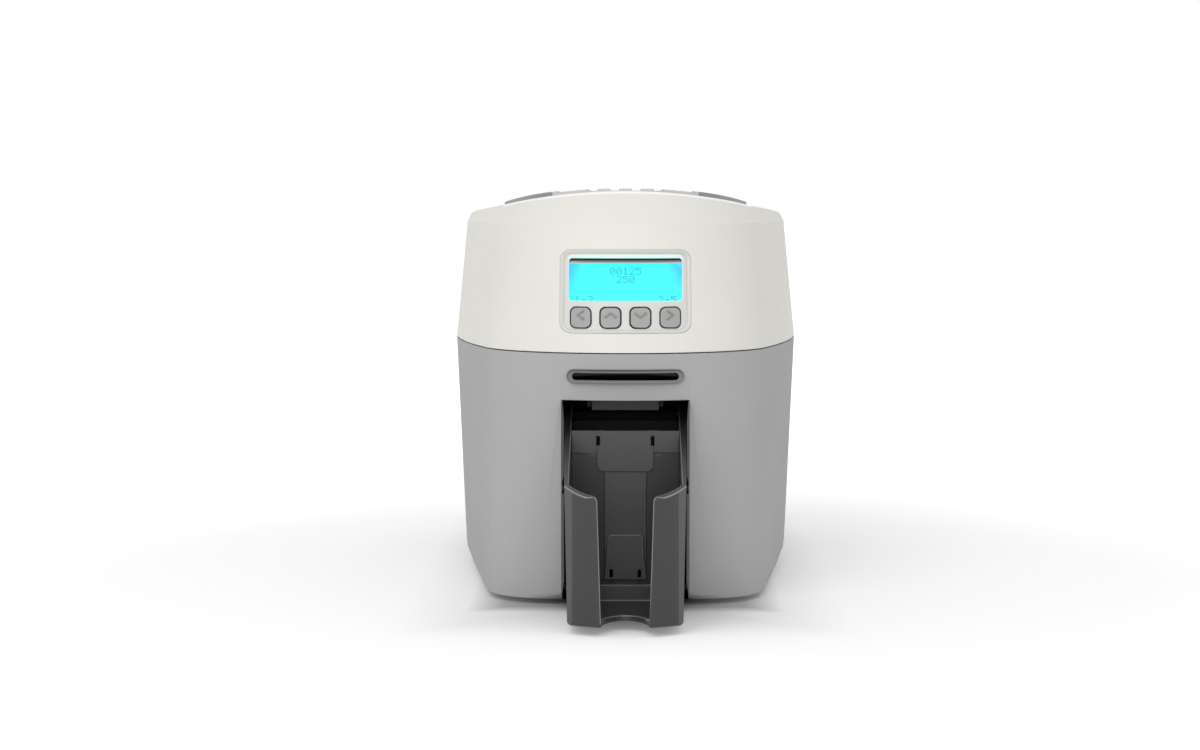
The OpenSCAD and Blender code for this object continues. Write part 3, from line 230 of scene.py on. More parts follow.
@dataclass(frozen=True)
class Finish:
    """The colour and surface of one material.

    The colour is written as it looks, and lengths are in metres.
    """

    slot: str
    colour: Colour
    surface: Surface = Surface.MOULDED
    rough: float = 0.45
    metallic: float = 0.0
    specular: float = 0.5
    coat: float = 0.0
    coat_roughness: float = 0.1
    grain: float = 0.0006
    relief: float = 0.05
    mottle: float = 0.03
    wear: float = 0.1
    dust: float = 0.03
    glow: float = 0.0
    label: str = ""
    rub_reach: float = 0.0004
    bump_depth: float = 0.0002

    def material(self) -> bpy.types.Material:
        """Returns the material, made at its first use."""
        name = "finish_" + (self.label or self.slot)
        known = bpy.data.materials.get(name)
        if known is not None:
            return known
        made = bpy.data.materials.new(name)
        g = Graph.emptied(made)
        place = g.node("TexCoord").outputs["Object"]
        body, height = self._body(g, place)
        worn = SharedEffects.place(g, SharedEffects.edge_wear, place, self.rub_reach)
        lighter = tuple(min(1.0, c * 1.25 + 0.05) for c in self.colour)
        body = g.mix(g.times(worn.outputs["Mask"], self.wear), body, linear(lighter))
        dusty = SharedEffects.place(g, SharedEffects.settled_dust, place, self.dust)
        body = g.mix(dusty.outputs["Mask"], body, linear(DUST_COLOUR))
        rough = g.scaled(dusty.outputs["Mask"], 0.4, self.rough)
        speckle = g.times(g.minus(height, 0.5), 0.12)
        bump = {"Strength": self.relief, "Distance": self.bump_depth, "Height": height}
        values = {
            "Metallic": self.metallic,
            "Specular IOR Level": self.specular,
            "Coat Weight": self.coat,
            "Coat Roughness": self.coat_roughness,
            "Roughness": g.math("ADD", rough, speckle, clamp=True),
            "Normal": g.node("Bump", bump).outputs[0],
        }
        if self.glow:
            values["Emission Strength"] = self.glow
            values["Emission Color"] = body
            body = g.mix(0.85, body, (0.0, 0.0, 0.0, 1.0))
        shader = g.node("BsdfPrincipled", {**values, "Base Color": body})
        g.node("OutputMaterial", {"Surface": shader.outputs[0]}).is_active_output = True
        return made

    def _body(self, g: Graph, place: Socket) -> tuple[Socket, Socket]:
        """Lays the pattern of this kind of surface and returns its colour and height."""
        dark, light = (
            linear(tuple(min(1.0, c * (1 + way * self.mottle)) for c in self.colour))
            for way in (-1, 1)
        )
        if self.surface in (Surface.BRUSHED, Surface.TURNED):
            pitch = 2200.0 if self.surface is Surface.BRUSHED else 900.0
            lines = SharedEffects.place(g, SharedEffects.draw_lines, place, pitch)
            height = lines.outputs["Height"]
            mask = g.math("ADD", g.times(height, 0.5), g.times(lines.outputs["Tint"], 0.5))
            return g.mix(g.span(mask, 0.3, 0.7), dark, light), height
        grain = SharedEffects.place(g, SharedEffects.mould_grain, place, self.grain)
        body = g.mix(g.span(grain.outputs["Tint"], 0.3, 0.7), dark, light)
        height = grain.outputs["Height"]
        if self.surface is Surface.BOARD:
            track = self._tracks(g, place)
            raised = linear(tuple(min(1.0, c * 1.35 + 0.03) for c in self.colour))
            return g.mix(track, body, raised), g.math("ADD", height, track)
        if self.surface is Surface.FILM:
            return self._dyes(g, place, body), height
        if self.surface is Surface.GLOW:
            return self._backlight(g, place), height
        return body, height

    def _tracks(self, g: Graph, place: Socket) -> Socket:
        """Returns the mask of the copper tracks and pads under a board's solder mask."""
        bricks = g.node("TexBrick", {
            "Vector": place, "Scale": 110.0, "Mortar Size": 0.035, "Mortar Smooth": 0.1,
            "Brick Width": 0.9, "Row Height": 0.22,
        })
        pads = g.node("TexVoronoi", {"Vector": place, "Scale": 210.0})
        pad = g.span(pads.outputs["Distance"], 0.24, 0.2)
        return g.math("MAXIMUM", bricks.outputs["Fac"], g.times(pad, 0.8))

    def _dyes(self, g: Graph, place: Socket, body: Socket) -> Socket:
        """Returns the film's colour with its dye panels, one card long each, along Y."""
        turn = g.math("FRACT", g.math("DIVIDE", g.axes(place)[1], 0.115))
        ramp = g.node("ValToRGB", {0: turn})
        ramp.color_ramp.interpolation = "CONSTANT"
        stops = ramp.color_ramp.elements
        stops[0].color = linear((0.87, 0.74, 0.16))
        stops[1].position = 0.34
        stops[1].color = linear((0.72, 0.14, 0.36))
        stops.new(0.67).color = linear((0.1, 0.48, 0.66))
        return g.mix(0.85, body, ramp.outputs[0])

    def _backlight(self, g: Graph, place: Socket) -> Socket:
        """Returns the display's light, bluer towards its upper corners."""
        across, _, up = g.axes(place)
        corner = g.times(
            g.span(g.math("ABSOLUTE", across), 0.021, 0.0305), g.span(up, 0.167, 0.185)
        )
        mask = g.times(corner, g.span(g.noise(place, 150.0, 2.0), 0.2, 0.6))
        cells = g.node("TexChecker", {"Vector": place, "Scale": 1900.0}).outputs["Fac"]
        lit = g.mix(g.times(cells, 0.04), linear(self.colour), linear((0.2, 0.93, 0.95)))
        return g.mix(mask, lit, linear((0.27, 0.72, 0.98)))


def clean(slot: str, label: str, colour: Colour, **values: float) -> Finish:
    """Returns a finish with neither wear nor dust, for a detail on a material slot."""
    return Finish(slot, colour, label=label, wear=0.0, dust=0.0, **values)


DUST_COLOUR = (0.72, 0.7, 0.67)
CASING = Finish("casing_grey", (0.7, 0.7, 0.7), rough=0.7, specular=0.1, grain=0.0005,
                relief=0.1, mottle=0.008, wear=0.08)
# Darker copy of the casing grey: painted shade in the slot's sunk lip.
LIP_SHADE = clean("casing_grey", "slot_lip", (0.5, 0.5, 0.5), rough=0.6, specular=0.3,
            grain=0.0005)
LID = Finish("lid_white", (0.892, 0.885, 0.858), rough=0.5, specular=0.35, grain=0.0005,
             relief=0.08, mottle=0.006, wear=0.06)
# Near-white copy of the lid colour: painted highlight on the crown's rounded front edge.
CROWN_HIGHLIGHT = clean("lid_white", "crown_highlight_edge", (0.985, 0.985, 0.98), rough=0.4, relief=0.0)
BEZEL = Finish("bezel_white", (0.845, 0.84, 0.822), rough=0.35, specular=0.4, relief=0.02,
               mottle=0.006)
# Bezel white with a cyan glow: painted light from the display on the window's chamfer, which is no
# lamp.
RIM_GLOW_PAINT = clean("bezel_white", "painted_glow_rim", (0.86, 0.99, 0.98), rough=0.35, specular=0.3,
              relief=0.0, glow=0.85)
PANEL = Finish("panel_grey", (0.557, 0.565, 0.573), rough=0.5, relief=0.12, mottle=0.02)
# Near-white copy of the panel grey: painted highlight on the ribbed middle.
RIBS_HIGHLIGHT = Finish("panel_grey", (0.8, 0.8, 0.795), rough=0.5, relief=0.12, mottle=0.02,
              label="panel_ribs_highlight")
KEY = Finish("key_grey", (0.64, 0.636, 0.636), rough=0.5, relief=0.06, mottle=0.01, wear=0.2)
CHEVRON = clean("key_grey", "key_mark", (0.555, 0.555, 0.56), rough=0.55, relief=0.03,
                mottle=0.01)
SMOKED = Finish("smoked_plastic", (0.181, 0.181, 0.183), rough=0.36, coat=0.1,
                coat_roughness=0.12, relief=0.01, mottle=0.01, wear=0.5, dust=0.0)
# Lighter copy of the smoked plastic: painted highlight on the bin's rounded edges and beads.
SMOKED_HIGHLIGHT = clean("smoked_plastic", "smoked_highlight", (0.5, 0.5, 0.505), rough=0.3,
                    relief=0.0)
# Lighter copy of the smoked plastic: painted highlight on the wings' turned outer corners.
SMOKED_TURN_HIGHLIGHT = clean("smoked_plastic", "smoked_turn_highlight", (0.3, 0.3, 0.303), rough=0.3,
                    relief=0.01)
SMOKED_TAB = Finish("smoked_plastic", (0.298, 0.298, 0.301), rough=0.4, relief=0.01,
                    mottle=0.01, wear=0.2, dust=0.0, label="smoked_tab")
SMOKED_PANEL = Finish("smoked_plastic", (0.25, 0.25, 0.253), rough=0.4, relief=0.01,
                      mottle=0.01, wear=0.45, dust=0.0, label="smoked_panel")
# Darkest copy of the smoked plastic: painted shade on sheets below the back panel's top band.
SMOKED_SHADE = Finish("smoked_plastic", (0.12, 0.12, 0.124), rough=0.4, relief=0.01,
                     dust=0.0, label="smoked_painted_shade")
DARK = Finish("dark_plastic", (0.231, 0.239, 0.251), rough=0.5, relief=0.1)
FLAP = Finish("dark_plastic", (0.2, 0.205, 0.21), rough=0.5, relief=0.1,
              label="flap_plastic")
# Darker copy of the dark plastic: painted shade inside the bay and the feed throat.
INNER_SHADE = clean("dark_plastic", "painted_shade_inside", (0.12, 0.121, 0.125), rough=0.6, specular=0.25)
# Dark plastic that glows: painted light lifting the bay's side walls out of their shade.
BAY_WALL_GLOW = clean("dark_plastic", "bay_wall", (0.36, 0.36, 0.365), rough=0.55, specular=0.3,
                 relief=0.0, glow=0.8)
BLACK = Finish("black_plastic", (0.122, 0.125, 0.133), rough=0.42, relief=0.08, wear=0.2)
SHEET = Finish("steel_sheet", (0.7, 0.71, 0.72), Surface.BRUSHED, rough=0.36, metallic=1.0,
               mottle=0.05, relief=0.04)
FRAME = Finish("steel_sheet", (0.58, 0.6, 0.6), rough=0.5, metallic=0.2, relief=0.02,
               label="display_frame")
ROD = Finish("steel_rod", (0.8, 0.81, 0.82), Surface.TURNED, rough=0.2, metallic=1.0,
             relief=0.03)
GLOW = Finish("lcd_cyan", (0.25, 0.98, 0.98), Surface.GLOW, rough=0.2, specular=0.2,
              relief=0.0, wear=0.0, dust=0.0, glow=0.96)
FIGURE = clean("lcd_cyan", "lcd_figures", (0.18, 0.76, 0.79), rough=0.3, specular=0.2,
               relief=0.0, glow=0.96)
FILM = {"surface": Surface.FILM, "coat": 0.3}
FINISHES = {f.slot: f for f in (
    CASING, LID, BEZEL, PANEL, KEY, SMOKED, DARK, BLACK, SHEET, ROD, GLOW,
    Finish("liner_plastic", (0.788, 0.788, 0.776), rough=0.5),
    Finish("white_plastic", (0.886, 0.871, 0.824), rough=0.38, relief=0.03, mottle=0.02),
    Finish("rubber", (0.169, 0.169, 0.169), rough=0.8, specular=0.3, grain=0.0009,
           relief=0.25, dust=0.15),
    Finish("brass", (0.85, 0.76, 0.48), Surface.TURNED, rough=0.26, metallic=1.0),
    Finish("motor_black", (0.227, 0.235, 0.243), rough=0.4, relief=0.12, wear=0.4),
    Finish("board_green", (0.12, 0.36, 0.22), Surface.BOARD, rough=0.34, coat=0.3,
           relief=0.3, wear=0.0),
    Finish("film_yellow", (0.851, 0.698, 0.227), rough=0.22, relief=0.02, **FILM),
    Finish("film_violet", (0.353, 0.247, 0.471), rough=0.22, relief=0.02, **FILM),
    Finish("film_amber", (0.784, 0.541, 0.18), rough=0.18, relief=0.01, **FILM),
    Finish("cleaner_blue", (0.247, 0.435, 0.682), rough=0.35, coat=0.2, relief=0.04),
    Finish("aluminium", (0.78, 0.79, 0.8), Surface.BRUSHED, rough=0.3, metallic=1.0),
    Finish("ceramic", (0.851, 0.824, 0.753), rough=0.16, coat=0.5, relief=0.02,
           mottle=0.02),
)}


# ---- workshop


class Workshop:
    """Turns bmesh work into finished pieces that ride on a body."""

    sharp = 38.0
    merge = 0.00002
    flat = 0.6

    @staticmethod
    def node_copy(node: str) -> BMesh:
        """Returns a merged copy of a frame node's mesh, with flat faces whole."""
        bm = bmesh.new()
        bm.from_mesh(frame["nodes"][node].data)
        bmesh.ops.remove_doubles(bm, verts=bm.verts, dist=Workshop.merge)
        bmesh.ops.dissolve_degenerate(bm, edges=bm.edges, dist=Workshop.merge)
        bmesh.ops.dissolve_limit(
            bm, angle_limit=math.radians(Workshop.flat), verts=bm.verts, edges=bm.edges,
            delimit={"NORMAL"},
        )
        return bm

    @staticmethod
    def roomy(edge: bmesh.types.BMEdge, vert: BMVert, chosen: set, width: float) -> bool:
        """Says if the neighbours at one end of an edge leave room for a rounding.

        Args:
            edge: The edge to round.
            vert: One of its ends.
            chosen: Edges that are rounded with it.
            width: Width of the rounding.
        """
        way = edge.other_vert(vert).co - vert.co
        for other in vert.link_edges:
            step = vert.co - other.other_vert(vert).co
            if other is edge or (other in chosen and way.angle(step, 0.0) < math.radians(30)):
                continue
            if step.length < 1.6 * width:
                return False
        return True

    @staticmethod
    def soften(
        bm: BMesh, width: float, segments: int = 2, keep: Test | None = None,
        shortest: float = 0.0, trim: int = -1,
    ) -> None:
        """Rounds the sharp edges.

        Args:
            bm: Mesh to change.
            width: Width of the rounding.
            segments: Steps across it.
            keep: Takes the middle of an edge and says if it is rounded.
            shortest: Shorter edges are left alone.
            trim: Material slot that the rounding gets, or -1 for its neighbours' own.
        """
        bm.normal_update()
        limit = math.radians(Workshop.sharp)
        chosen = {
            e for e in bm.edges
            if e.is_manifold and e.calc_face_angle(0.0) > limit and e.calc_length() >= shortest
            and (keep is None or keep((e.verts[0].co + e.verts[1].co) / 2))
        }
        clear = [
            e for e in bm.edges
            if e in chosen and all(Workshop.roomy(e, v, chosen, width) for v in e.verts)
        ]
        bmesh.ops.bevel(
            bm, geom=clear, offset=width, offset_type="OFFSET", segments=segments, profile=0.5,
            affect="EDGES", clamp_overlap=False, material=trim,
        )

    @staticmethod
    def piece(
        bm: BMesh, name: str, body: str, finish: Finish, replaces: Sequence[str] = (),
        crease: float = 32.0, outwards: bool = True, trims: Sequence[Finish] = (),
        folded: Test | None = None,
    ) -> None:
        """Makes the finished piece of a mesh.

        Args:
            bm: The mesh, in place.
            name: Name of the piece.
            body: Body that it rides on.
            finish: Its finish.
            replaces: Frame nodes that it stands for.
            crease: Angle past which an edge stays sharp, in degrees.
            outwards: Whether its normals are worked out again.
            trims: Further finishes, for material slots 1 and on.
            folded: Takes the middle of a level edge and says if it stays sharp in any case.
        """
        if outwards:
            bmesh.ops.remove_doubles(bm, verts=bm.verts, dist=0.0000005)
            bmesh.ops.recalc_face_normals(bm, faces=bm.faces)
        mesh = bpy.data.meshes.new(name)
        bm.to_mesh(mesh)
        bm.free()
        for one in (finish, *trims):
            mesh.materials.append(one.material())
        mesh.shade_smooth()
        mesh.set_sharp_from_angle(angle=math.radians(crease))
        if folded is not None:
            for edge in mesh.edges:
                a, b = (mesh.vertices[v].co for v in edge.vertices)
                if folded((a + b) / 2) and abs(a.z - b.z) < 0.0003:
                    edge.use_edge_sharp = True
        made = stand(name, mesh)
        made.modifiers.new("even_normals", "WEIGHTED_NORMAL").keep_sharp = True
        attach(made, body)
        if replaces:
            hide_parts(*replaces)
        LOG.info("%s: %d faces on %s", name, len(mesh.polygons), body)

    @staticmethod
    def dress(
        bm: BMesh, width: float, node: str, name: str, body: str, finish: Finish,
        segments: int = 2, trim: int = -1, **options: object,
    ) -> None:
        """Rounds a copy of a frame node and makes it the piece that stands for the node.

        Args:
            bm: The copy.
            width: Width of the roundings.
            node: Name of the node.
            name: Name of the piece.
            body: Body that it rides on.
            finish: Its finish.
            segments: Steps across the roundings.
            trim: Material slot of the roundings.
            options: What else the piece takes.
        """
        Workshop.soften(bm, width, segments, trim=trim)
        Workshop.piece(bm, name, body, finish, [node], outwards=False, **options)

    @staticmethod
    def slab(bm: BMesh, points: Sequence[Point], push: Point) -> None:
        """Extrudes a flat outline.

        Args:
            bm: Mesh to add to.
            points: Corners of the outline.
            push: Way and distance of the extrusion.
        """
        face = bm.faces.new([bm.verts.new(p) for p in points])
        made = bmesh.ops.extrude_face_region(bm, geom=[face])["geom"]
        moved = [v for v in made if isinstance(v, BMVert)]
        bmesh.ops.translate(bm, verts=moved, vec=push)

    @staticmethod
    def bridge(bm: BMesh, loops: Sequence[Sequence[BMVert]]) -> None:
        """Joins closed loops of equal length, one after the other.

        Args:
            bm: Mesh that holds them.
            loops: The loops, from the outer one inwards, anticlockwise from the front.
        """
        for outer, inner in zip(loops, loops[1:]):
            for i, vert in enumerate(outer):
                j = (i + 1) % len(outer)
                bm.faces.new((vert, outer[j], inner[j], inner[i]))

    @staticmethod
    def disc(
        bm: BMesh, centre: Point, axis: Point, radius: float, depth: float, steps: int = 24
    ) -> list[BMVert]:
        """Adds a short cylinder and returns its vertices.

        Args:
            bm: Mesh to add to.
            centre: Middle of the face that it starts from.
            axis: Way that it stands.
            radius: Its radius.
            depth: Its height along the axis.
            steps: Sides.
        """
        way = Vector(axis).normalized()
        turn = way.to_track_quat("Z", "Y").to_matrix().to_4x4()
        place = Matrix.Translation(Vector(centre) + way * depth / 2) @ turn
        return bmesh.ops.create_cone(
            bm, cap_ends=True, segments=steps, radius1=radius, radius2=radius, depth=depth,
            matrix=place,
        )["verts"]

    @staticmethod
    def wire(points: Sequence[Point], radius: float) -> BMesh:
        """Returns a round bead along a path.

        Args:
            points: Points of the path.
            radius: Radius of the bead.
        """
        curve = bpy.data.curves.new("bead_path", "CURVE")
        curve.dimensions = "3D"
        spline = curve.splines.new("POLY")
        spline.points.add(len(points) - 1)
        for dot, p in zip(spline.points, points):
            dot.co = (*p, 1.0)
        curve.bevel_depth = radius
        curve.bevel_resolution = 2
        curve.use_fill_caps = True
        holder = stand("bead_path", curve)
        bm = bmesh.new()
        bm.from_mesh(holder.to_mesh())
        holder.to_mesh_clear()
        bpy.data.objects.remove(holder)
        bpy.data.curves.remove(curve)
        return bm


def rounded_rectangle(
    width: float, height: float, radius: float, steps: int = 10, side: int = 24
) -> list[Pair]:
    """Returns the outline of a rectangle with round corners, anticlockwise.

    Args:
        width: Its width.
        height: Its height.
        radius: Radius of its corners.
        steps: Steps of each corner.
        side: Steps of each straight side.
    """
    corners = []
    for k, (sx, sy) in enumerate(((1, -1), (1, 1), (-1, 1), (-1, -1))):
        cx, cy = sx * (width / 2 - radius), sy * (height / 2 - radius)
        for i in range(steps + 1):
            a = math.radians(-90 + 90 * k + 90 * i / steps)
            corners.append((cx + radius * math.cos(a), cy + radius * math.sin(a)))
    points = []
    for i, p in enumerate(corners):
        q = corners[(i + 1) % len(corners)]
        points.append(p)
        if i % (steps + 1) == steps:
            points += [
                (p[0] + (q[0] - p[0]) * j / side, p[1] + (q[1] - p[1]) * j / side)
                for j in range(1, side)
            ]
    return points


# ---- sub-assemblies


@dataclass
class FrontFaces:
    """Where the bowed fronts of the base and the lid lie, from the casing's own sizes."""

    y_face: float = -0.145
    seam_low: float = 0.13875
    seam_high: float = 0.13925
    crease: float = 0.208
    low: float = 0.025
    foot: float = 0.005
    bow: float = 0.081
    middle: float = 0.171838
    lid_back: float = 0.021
    lid_bow: float = 0.005
    base_back: float = 0.0022
    base_bow: float = 0.008
    base_flat: float = 0.006

    @property
    def lean(self) -> float:
        """Angle that the lid's front leans back by."""
        return math.atan(self.lid_back / (self.crease - self.seam_high))

    def base(self, x: float, z: float) -> float:
        """Y of the base's front at a place across and up."""
        s = (self.seam_low - z) / (self.seam_low - self.low)
        radius, flat = self.bow - self.base_bow * s, self.base_flat * s
        across = max(0.0, abs(x) - flat)
        return self.y_face + self.base_back * s + radius - math.sqrt(radius**2 - across**2)

    def lid(self, x: float, z: float) -> float:
        """Y of the lid's front at a place across and up."""
        s = (z - self.seam_high) / (self.crease - self.seam_high)
        radius = self.bow - self.lid_bow * s
        return self.y_face + self.lid_back * s + radius - math.sqrt(radius**2 - x**2)

    def on_lid(self, x: float, v: float, proud: float) -> Point:
        """Returns a place on the controls, measured across and up the slope from their middle.

        Args:
            x: Across.
            v: Up the slope.
            proud: How far it stands out of the bowed front, level.
        """
        z = self.middle + v * math.cos(self.lean)
        return x, self.lid(x, z) - proud, z

    def on_plane(self, x: float, v: float, n: float) -> Point:
        """Returns a place in the flat frame of the controls.

        Args:
            x: Across.
            v: Up the slope.
            n: Distance from the plane of the slope, level.
        """
        lean = self.lean
        y = self.y_face + (self.middle - self.seam_high) * math.tan(lean)
        return x, y + v * math.sin(lean) - n / math.cos(lean), self.middle + v * math.cos(lean)


@dataclass
class Casing(Workshop):
    """The base casing, its slot and the fittings on its rear and underside."""

    faces: FrontFaces = field(default_factory=FrontFaces)
    edge: float = 0.0005
    skirt: float = 0.0022
    slot_z: float = 0.1265
    slot_width: float = 0.0573
    slot_height: float = 0.0041
    lip_width: float = 0.0628
    lip_height: float = 0.0071
    bay_half: float = 0.0344
    flap_y: float = -0.116
    flap_z: float = 0.1113
    flap_half: float = 0.0183
    screw_radius: float = 0.0029
    screw_height: float = 0.0012
    rear_y: float = 0.2246

    def build(self) -> None:
        """Builds every piece of the casing."""
        self.shell()
        self.slot_lip()
        self.bay_walls()
        seats = ((-0.048, 0.022), (0.032, 0.022), (-0.066, 0.113), (0.066, 0.113))
        rear = [(x, self.rear_y - 0.02 * max(0.0, 0.03 - z), z) for x, z in seats]
        self.screws("rear_screws", rear, (0, 1, 0))
        under = [(x, y, 0.0076) for x in (-0.046, 0.046) for y in (0.0, 0.11)]
        self.screws("floor_screws", under, (0, 0, -1))
        self.flap()

    def shell(self) -> None:
        """The grey moulding with soft edges."""
        bm = self.node_copy("base_casing")
        low, foot = self.faces.low, self.faces.foot
        for vert in bm.verts:
            vert.co.z -= self.skirt * share_of((low - vert.co.z) / (low - foot))
        self.dress(bm, self.edge, "base_casing", "base_shell", "base", CASING)

    def slot_lip(self) -> None:
        """The sunk lip round the hand feed slot, following the bow, in darker grey as painted
        shade.
        """
        bm = bmesh.new()
        across, up = self.lip_width - self.slot_width, self.lip_height - self.slot_height
        profile = ((1.0, -0.00002), (0.93, 0.0002), (0.72, 0.0009), (0.5, 0.00115),
                   (0.0, 0.00118), (0.0, 0.0026))
        loops = []
        for share, sink in profile:
            width, height = self.slot_width + across * share, self.slot_height + up * share
            loops.append([
                bm.verts.new((x, self.faces.base(x, self.slot_z + z) + sink, self.slot_z + z))
                for x, z in rounded_rectangle(width, height, height / 2 - 0.00001, side=28)
            ])
        self.bridge(bm, loops)
        self.piece(bm, "slot_lip", "base", LIP_SHADE, crease=60.0, outwards=False)

    def bay_walls(self) -> None:
        """Sheets on the side walls inside the bay's opening, with a painted glow so they read paler
        than their shade.
        """
        bm = bmesh.new()
        wall = ((-0.1425, 0.008), (-0.085, 0.008), (-0.085, 0.098), (-0.12, 0.112),
                (-0.1425, 0.113))
        for side in (-1, 1):
            x = side * (self.bay_half - 0.00005)
            self.slab(bm, [(x, y, z) for y, z in wall], (-side * 0.00015, 0, 0))
        self.piece(bm, "bay_walls", "base", BAY_WALL_GLOW)

    def screws(self, name: str, seats: Sequence[Point], axis: Point) -> None:
        """Pan heads with a raised cross, which hold the casing.

        Args:
            name: Name of the piece.
            seats: Middles of their seats.
            axis: Way that the heads face.
        """
        bm = bmesh.new()
        way = Vector(axis).normalized()
        turn = way.to_track_quat("Z", "Y").to_matrix().to_4x4()
        bar = Matrix.Diagonal((0.0032, 0.0006, 0.0002, 1.0))
        for seat in seats:
            verts = self.disc(bm, seat, axis, self.screw_radius, self.screw_height)
            faces = (f for v in verts for f in v.link_faces)
            top = max(faces, key=lambda f: f.calc_center_median().dot(way))
            bmesh.ops.inset_region(bm, faces=[top], thickness=0.0007, depth=0.0005)
            for angle in (45, 135):
                spin = Matrix.Rotation(math.radians(angle), 4, "Z")
                place = Matrix.Translation(Vector(seat) + way * 0.00165) @ turn @ spin @ bar
                bmesh.ops.create_cube(bm, size=1.0, matrix=place)
        self.piece(bm, name, "base", ROD)

    def flap(self) -> None:
        """The light flap over the mouth of the bin, thick enough to cover its pin."""
        bm = bmesh.new()
        half, front = self.flap_half, self.flap_y - 0.0016
        low, high = self.flap_z - 0.0046, self.flap_z + 0.0015
        corners = ((-half, low), (half, low), (half, high), (-half, high))
        self.slab(bm, [(x, front, z) for x, z in corners], (0, 0.0022, 0))
        self.soften(bm, 0.0004)
        for side in (-1, 1):
            end = (side * half, self.flap_y, self.flap_z)
            self.disc(bm, end, (side, 0, 0), 0.0009, 0.0023, 20)
        self.piece(bm, "flap_plate", "flap", FLAP, ["exit_flap"])


@dataclass
class CardBin(Workshop):
    """The smoked bin with its back panel."""

    edge: float = 0.0005
    y_stop: float = -0.134
    floor_half: float = 0.0274
    draft: float = 0.0194
    underside: float = 0.0046
    column: float = 0.0113
    band_low: float = 0.085
    wing_back: float = -0.195
    wing_top: float = 0.066
    gap_low: float = 0.0105
    gap_lean: float = 0.0018
    turn: float = 0.0274
    ledge_z: float = 0.0163

    def half(self, z: float) -> float:
        """Half the width of the bin's hollow at a height."""
        return self.floor_half + self.draft * (z - self.underside)

    def build(self) -> None:
        """Builds the bin's pieces."""
        self.tub()
        self.panel()
        self.band_waves()
        self.ledge_bead()

    def sway(self, bm: BMesh) -> None:
        """Leans the edges of the finger gap outwards and eases the tops of the wings."""
        for vert in bm.verts:
            x, y, z = vert.co
            if y > self.wing_back or z < self.gap_low:
                continue
            share = min(1.0, (z - self.gap_low) / (self.wing_top - self.gap_low))
            near = share_of((0.0285 - abs(x)) / 0.0155)
            vert.co.x += math.copysign(self.gap_lean * share * near, x)
            if z > self.wing_top:
                across = share_of((abs(x) - 0.0145) / 0.0155)
                vert.co.z += 0.0011 * (1 - across) - 0.0012 * across

    def tub(self) -> None:
        """The bin, whose rounded edges and turned wing corners are painted lighter as highlights.
        """
        bm = self.node_copy("card_bin")
        self.sway(bm)
        self.soften(
            bm, 0.002, segments=5, shortest=0.02,
            keep=lambda p: p.z < self.underside + 0.0003 and abs(p.x) > self.floor_half,
        )
        # Front-turned faces at the wing corners get slot 2, the painted highlight.
        for face in bm.faces:
            middle = face.calc_center_median()
            turned = abs(middle.x) > self.turn and face.normal.y < -0.3
            if middle.y < self.wing_back and turned:
                face.material_index = 2
        # The roundings get slot 1, the painted highlight.
        self.dress(
            bm, self.edge, "card_bin", "bin_tub", "bin", SMOKED, trim=1,
            trims=[SMOKED_HIGHLIGHT, SMOKED_TURN_HIGHLIGHT],
        )

    def panel(self) -> None:
        """The back panel with its tongue and tab."""
        bm = self.node_copy("bin_stop")
        middles = [(f, f.calc_center_median()) for f in bm.faces]
        for face, middle in middles:
            if middle.y < self.y_stop - 0.0004 and middle.z < 0.041:
                face.material_index = 1
        self.dress(
            bm, 0.0003, "bin_stop", "bin_panel", "bin", SMOKED_PANEL, trims=[SMOKED_TAB]
        )
        # A bead along the tab's top edge, in the lighter copy, as painted highlight.
        half = ((0.0094, 0.03), (0.0094, 0.039), (0.008, 0.0405))
        bead = [(-x, z) for x, z in half] + list(reversed(half))
        y = self.y_stop - 0.0007
        self.piece(self.wire([(x, y, z) for x, z in bead], 0.00022), "tab_highlight", "bin", SMOKED_HIGHLIGHT)

    def band_waves(self) -> None:
        """Dark sheets under the top band, whose upper edges wave: painted shade of the hollow
        behind them.
        """
        bm = bmesh.new()
        level, foot, steps = self.y_stop + 0.00095, 0.0085, 16
        inner, outer = self.column + 0.0002, self.half(self.band_low) - 0.0002
        for side in (-1, 1):
            top = []
            for i in range(steps + 1):
                t = i / steps
                x = outer + (inner - outer) * t
                wave = 0.0017 * math.sin(math.pi * min(1.0, t * 1.6)) - 0.0022 * max(0.0, t - 0.45)
                top.append((side * x, level, self.band_low - 0.0015 + wave))
            low = [(side * inner, level, foot), (side * (self.half(foot) - 0.0002), level, foot)]
            self.slab(bm, top + low, (0, -0.0002, 0))
        self.piece(bm, "bin_shade_fields", "bin", SMOKED_SHADE)

    def ledge_bead(self) -> None:
        """The front edge of the floor's ledge, a bead in a lighter copy of the smoked plastic as
        painted highlight.
        """
        y, half = self.y_stop - 0.0199, self.half(self.ledge_z)
        bm = self.wire([(x, y, self.ledge_z) for x in (-half, half)], 0.0003)
        self.piece(bm, "ledge_highlight", "bin", SMOKED_HIGHLIGHT)


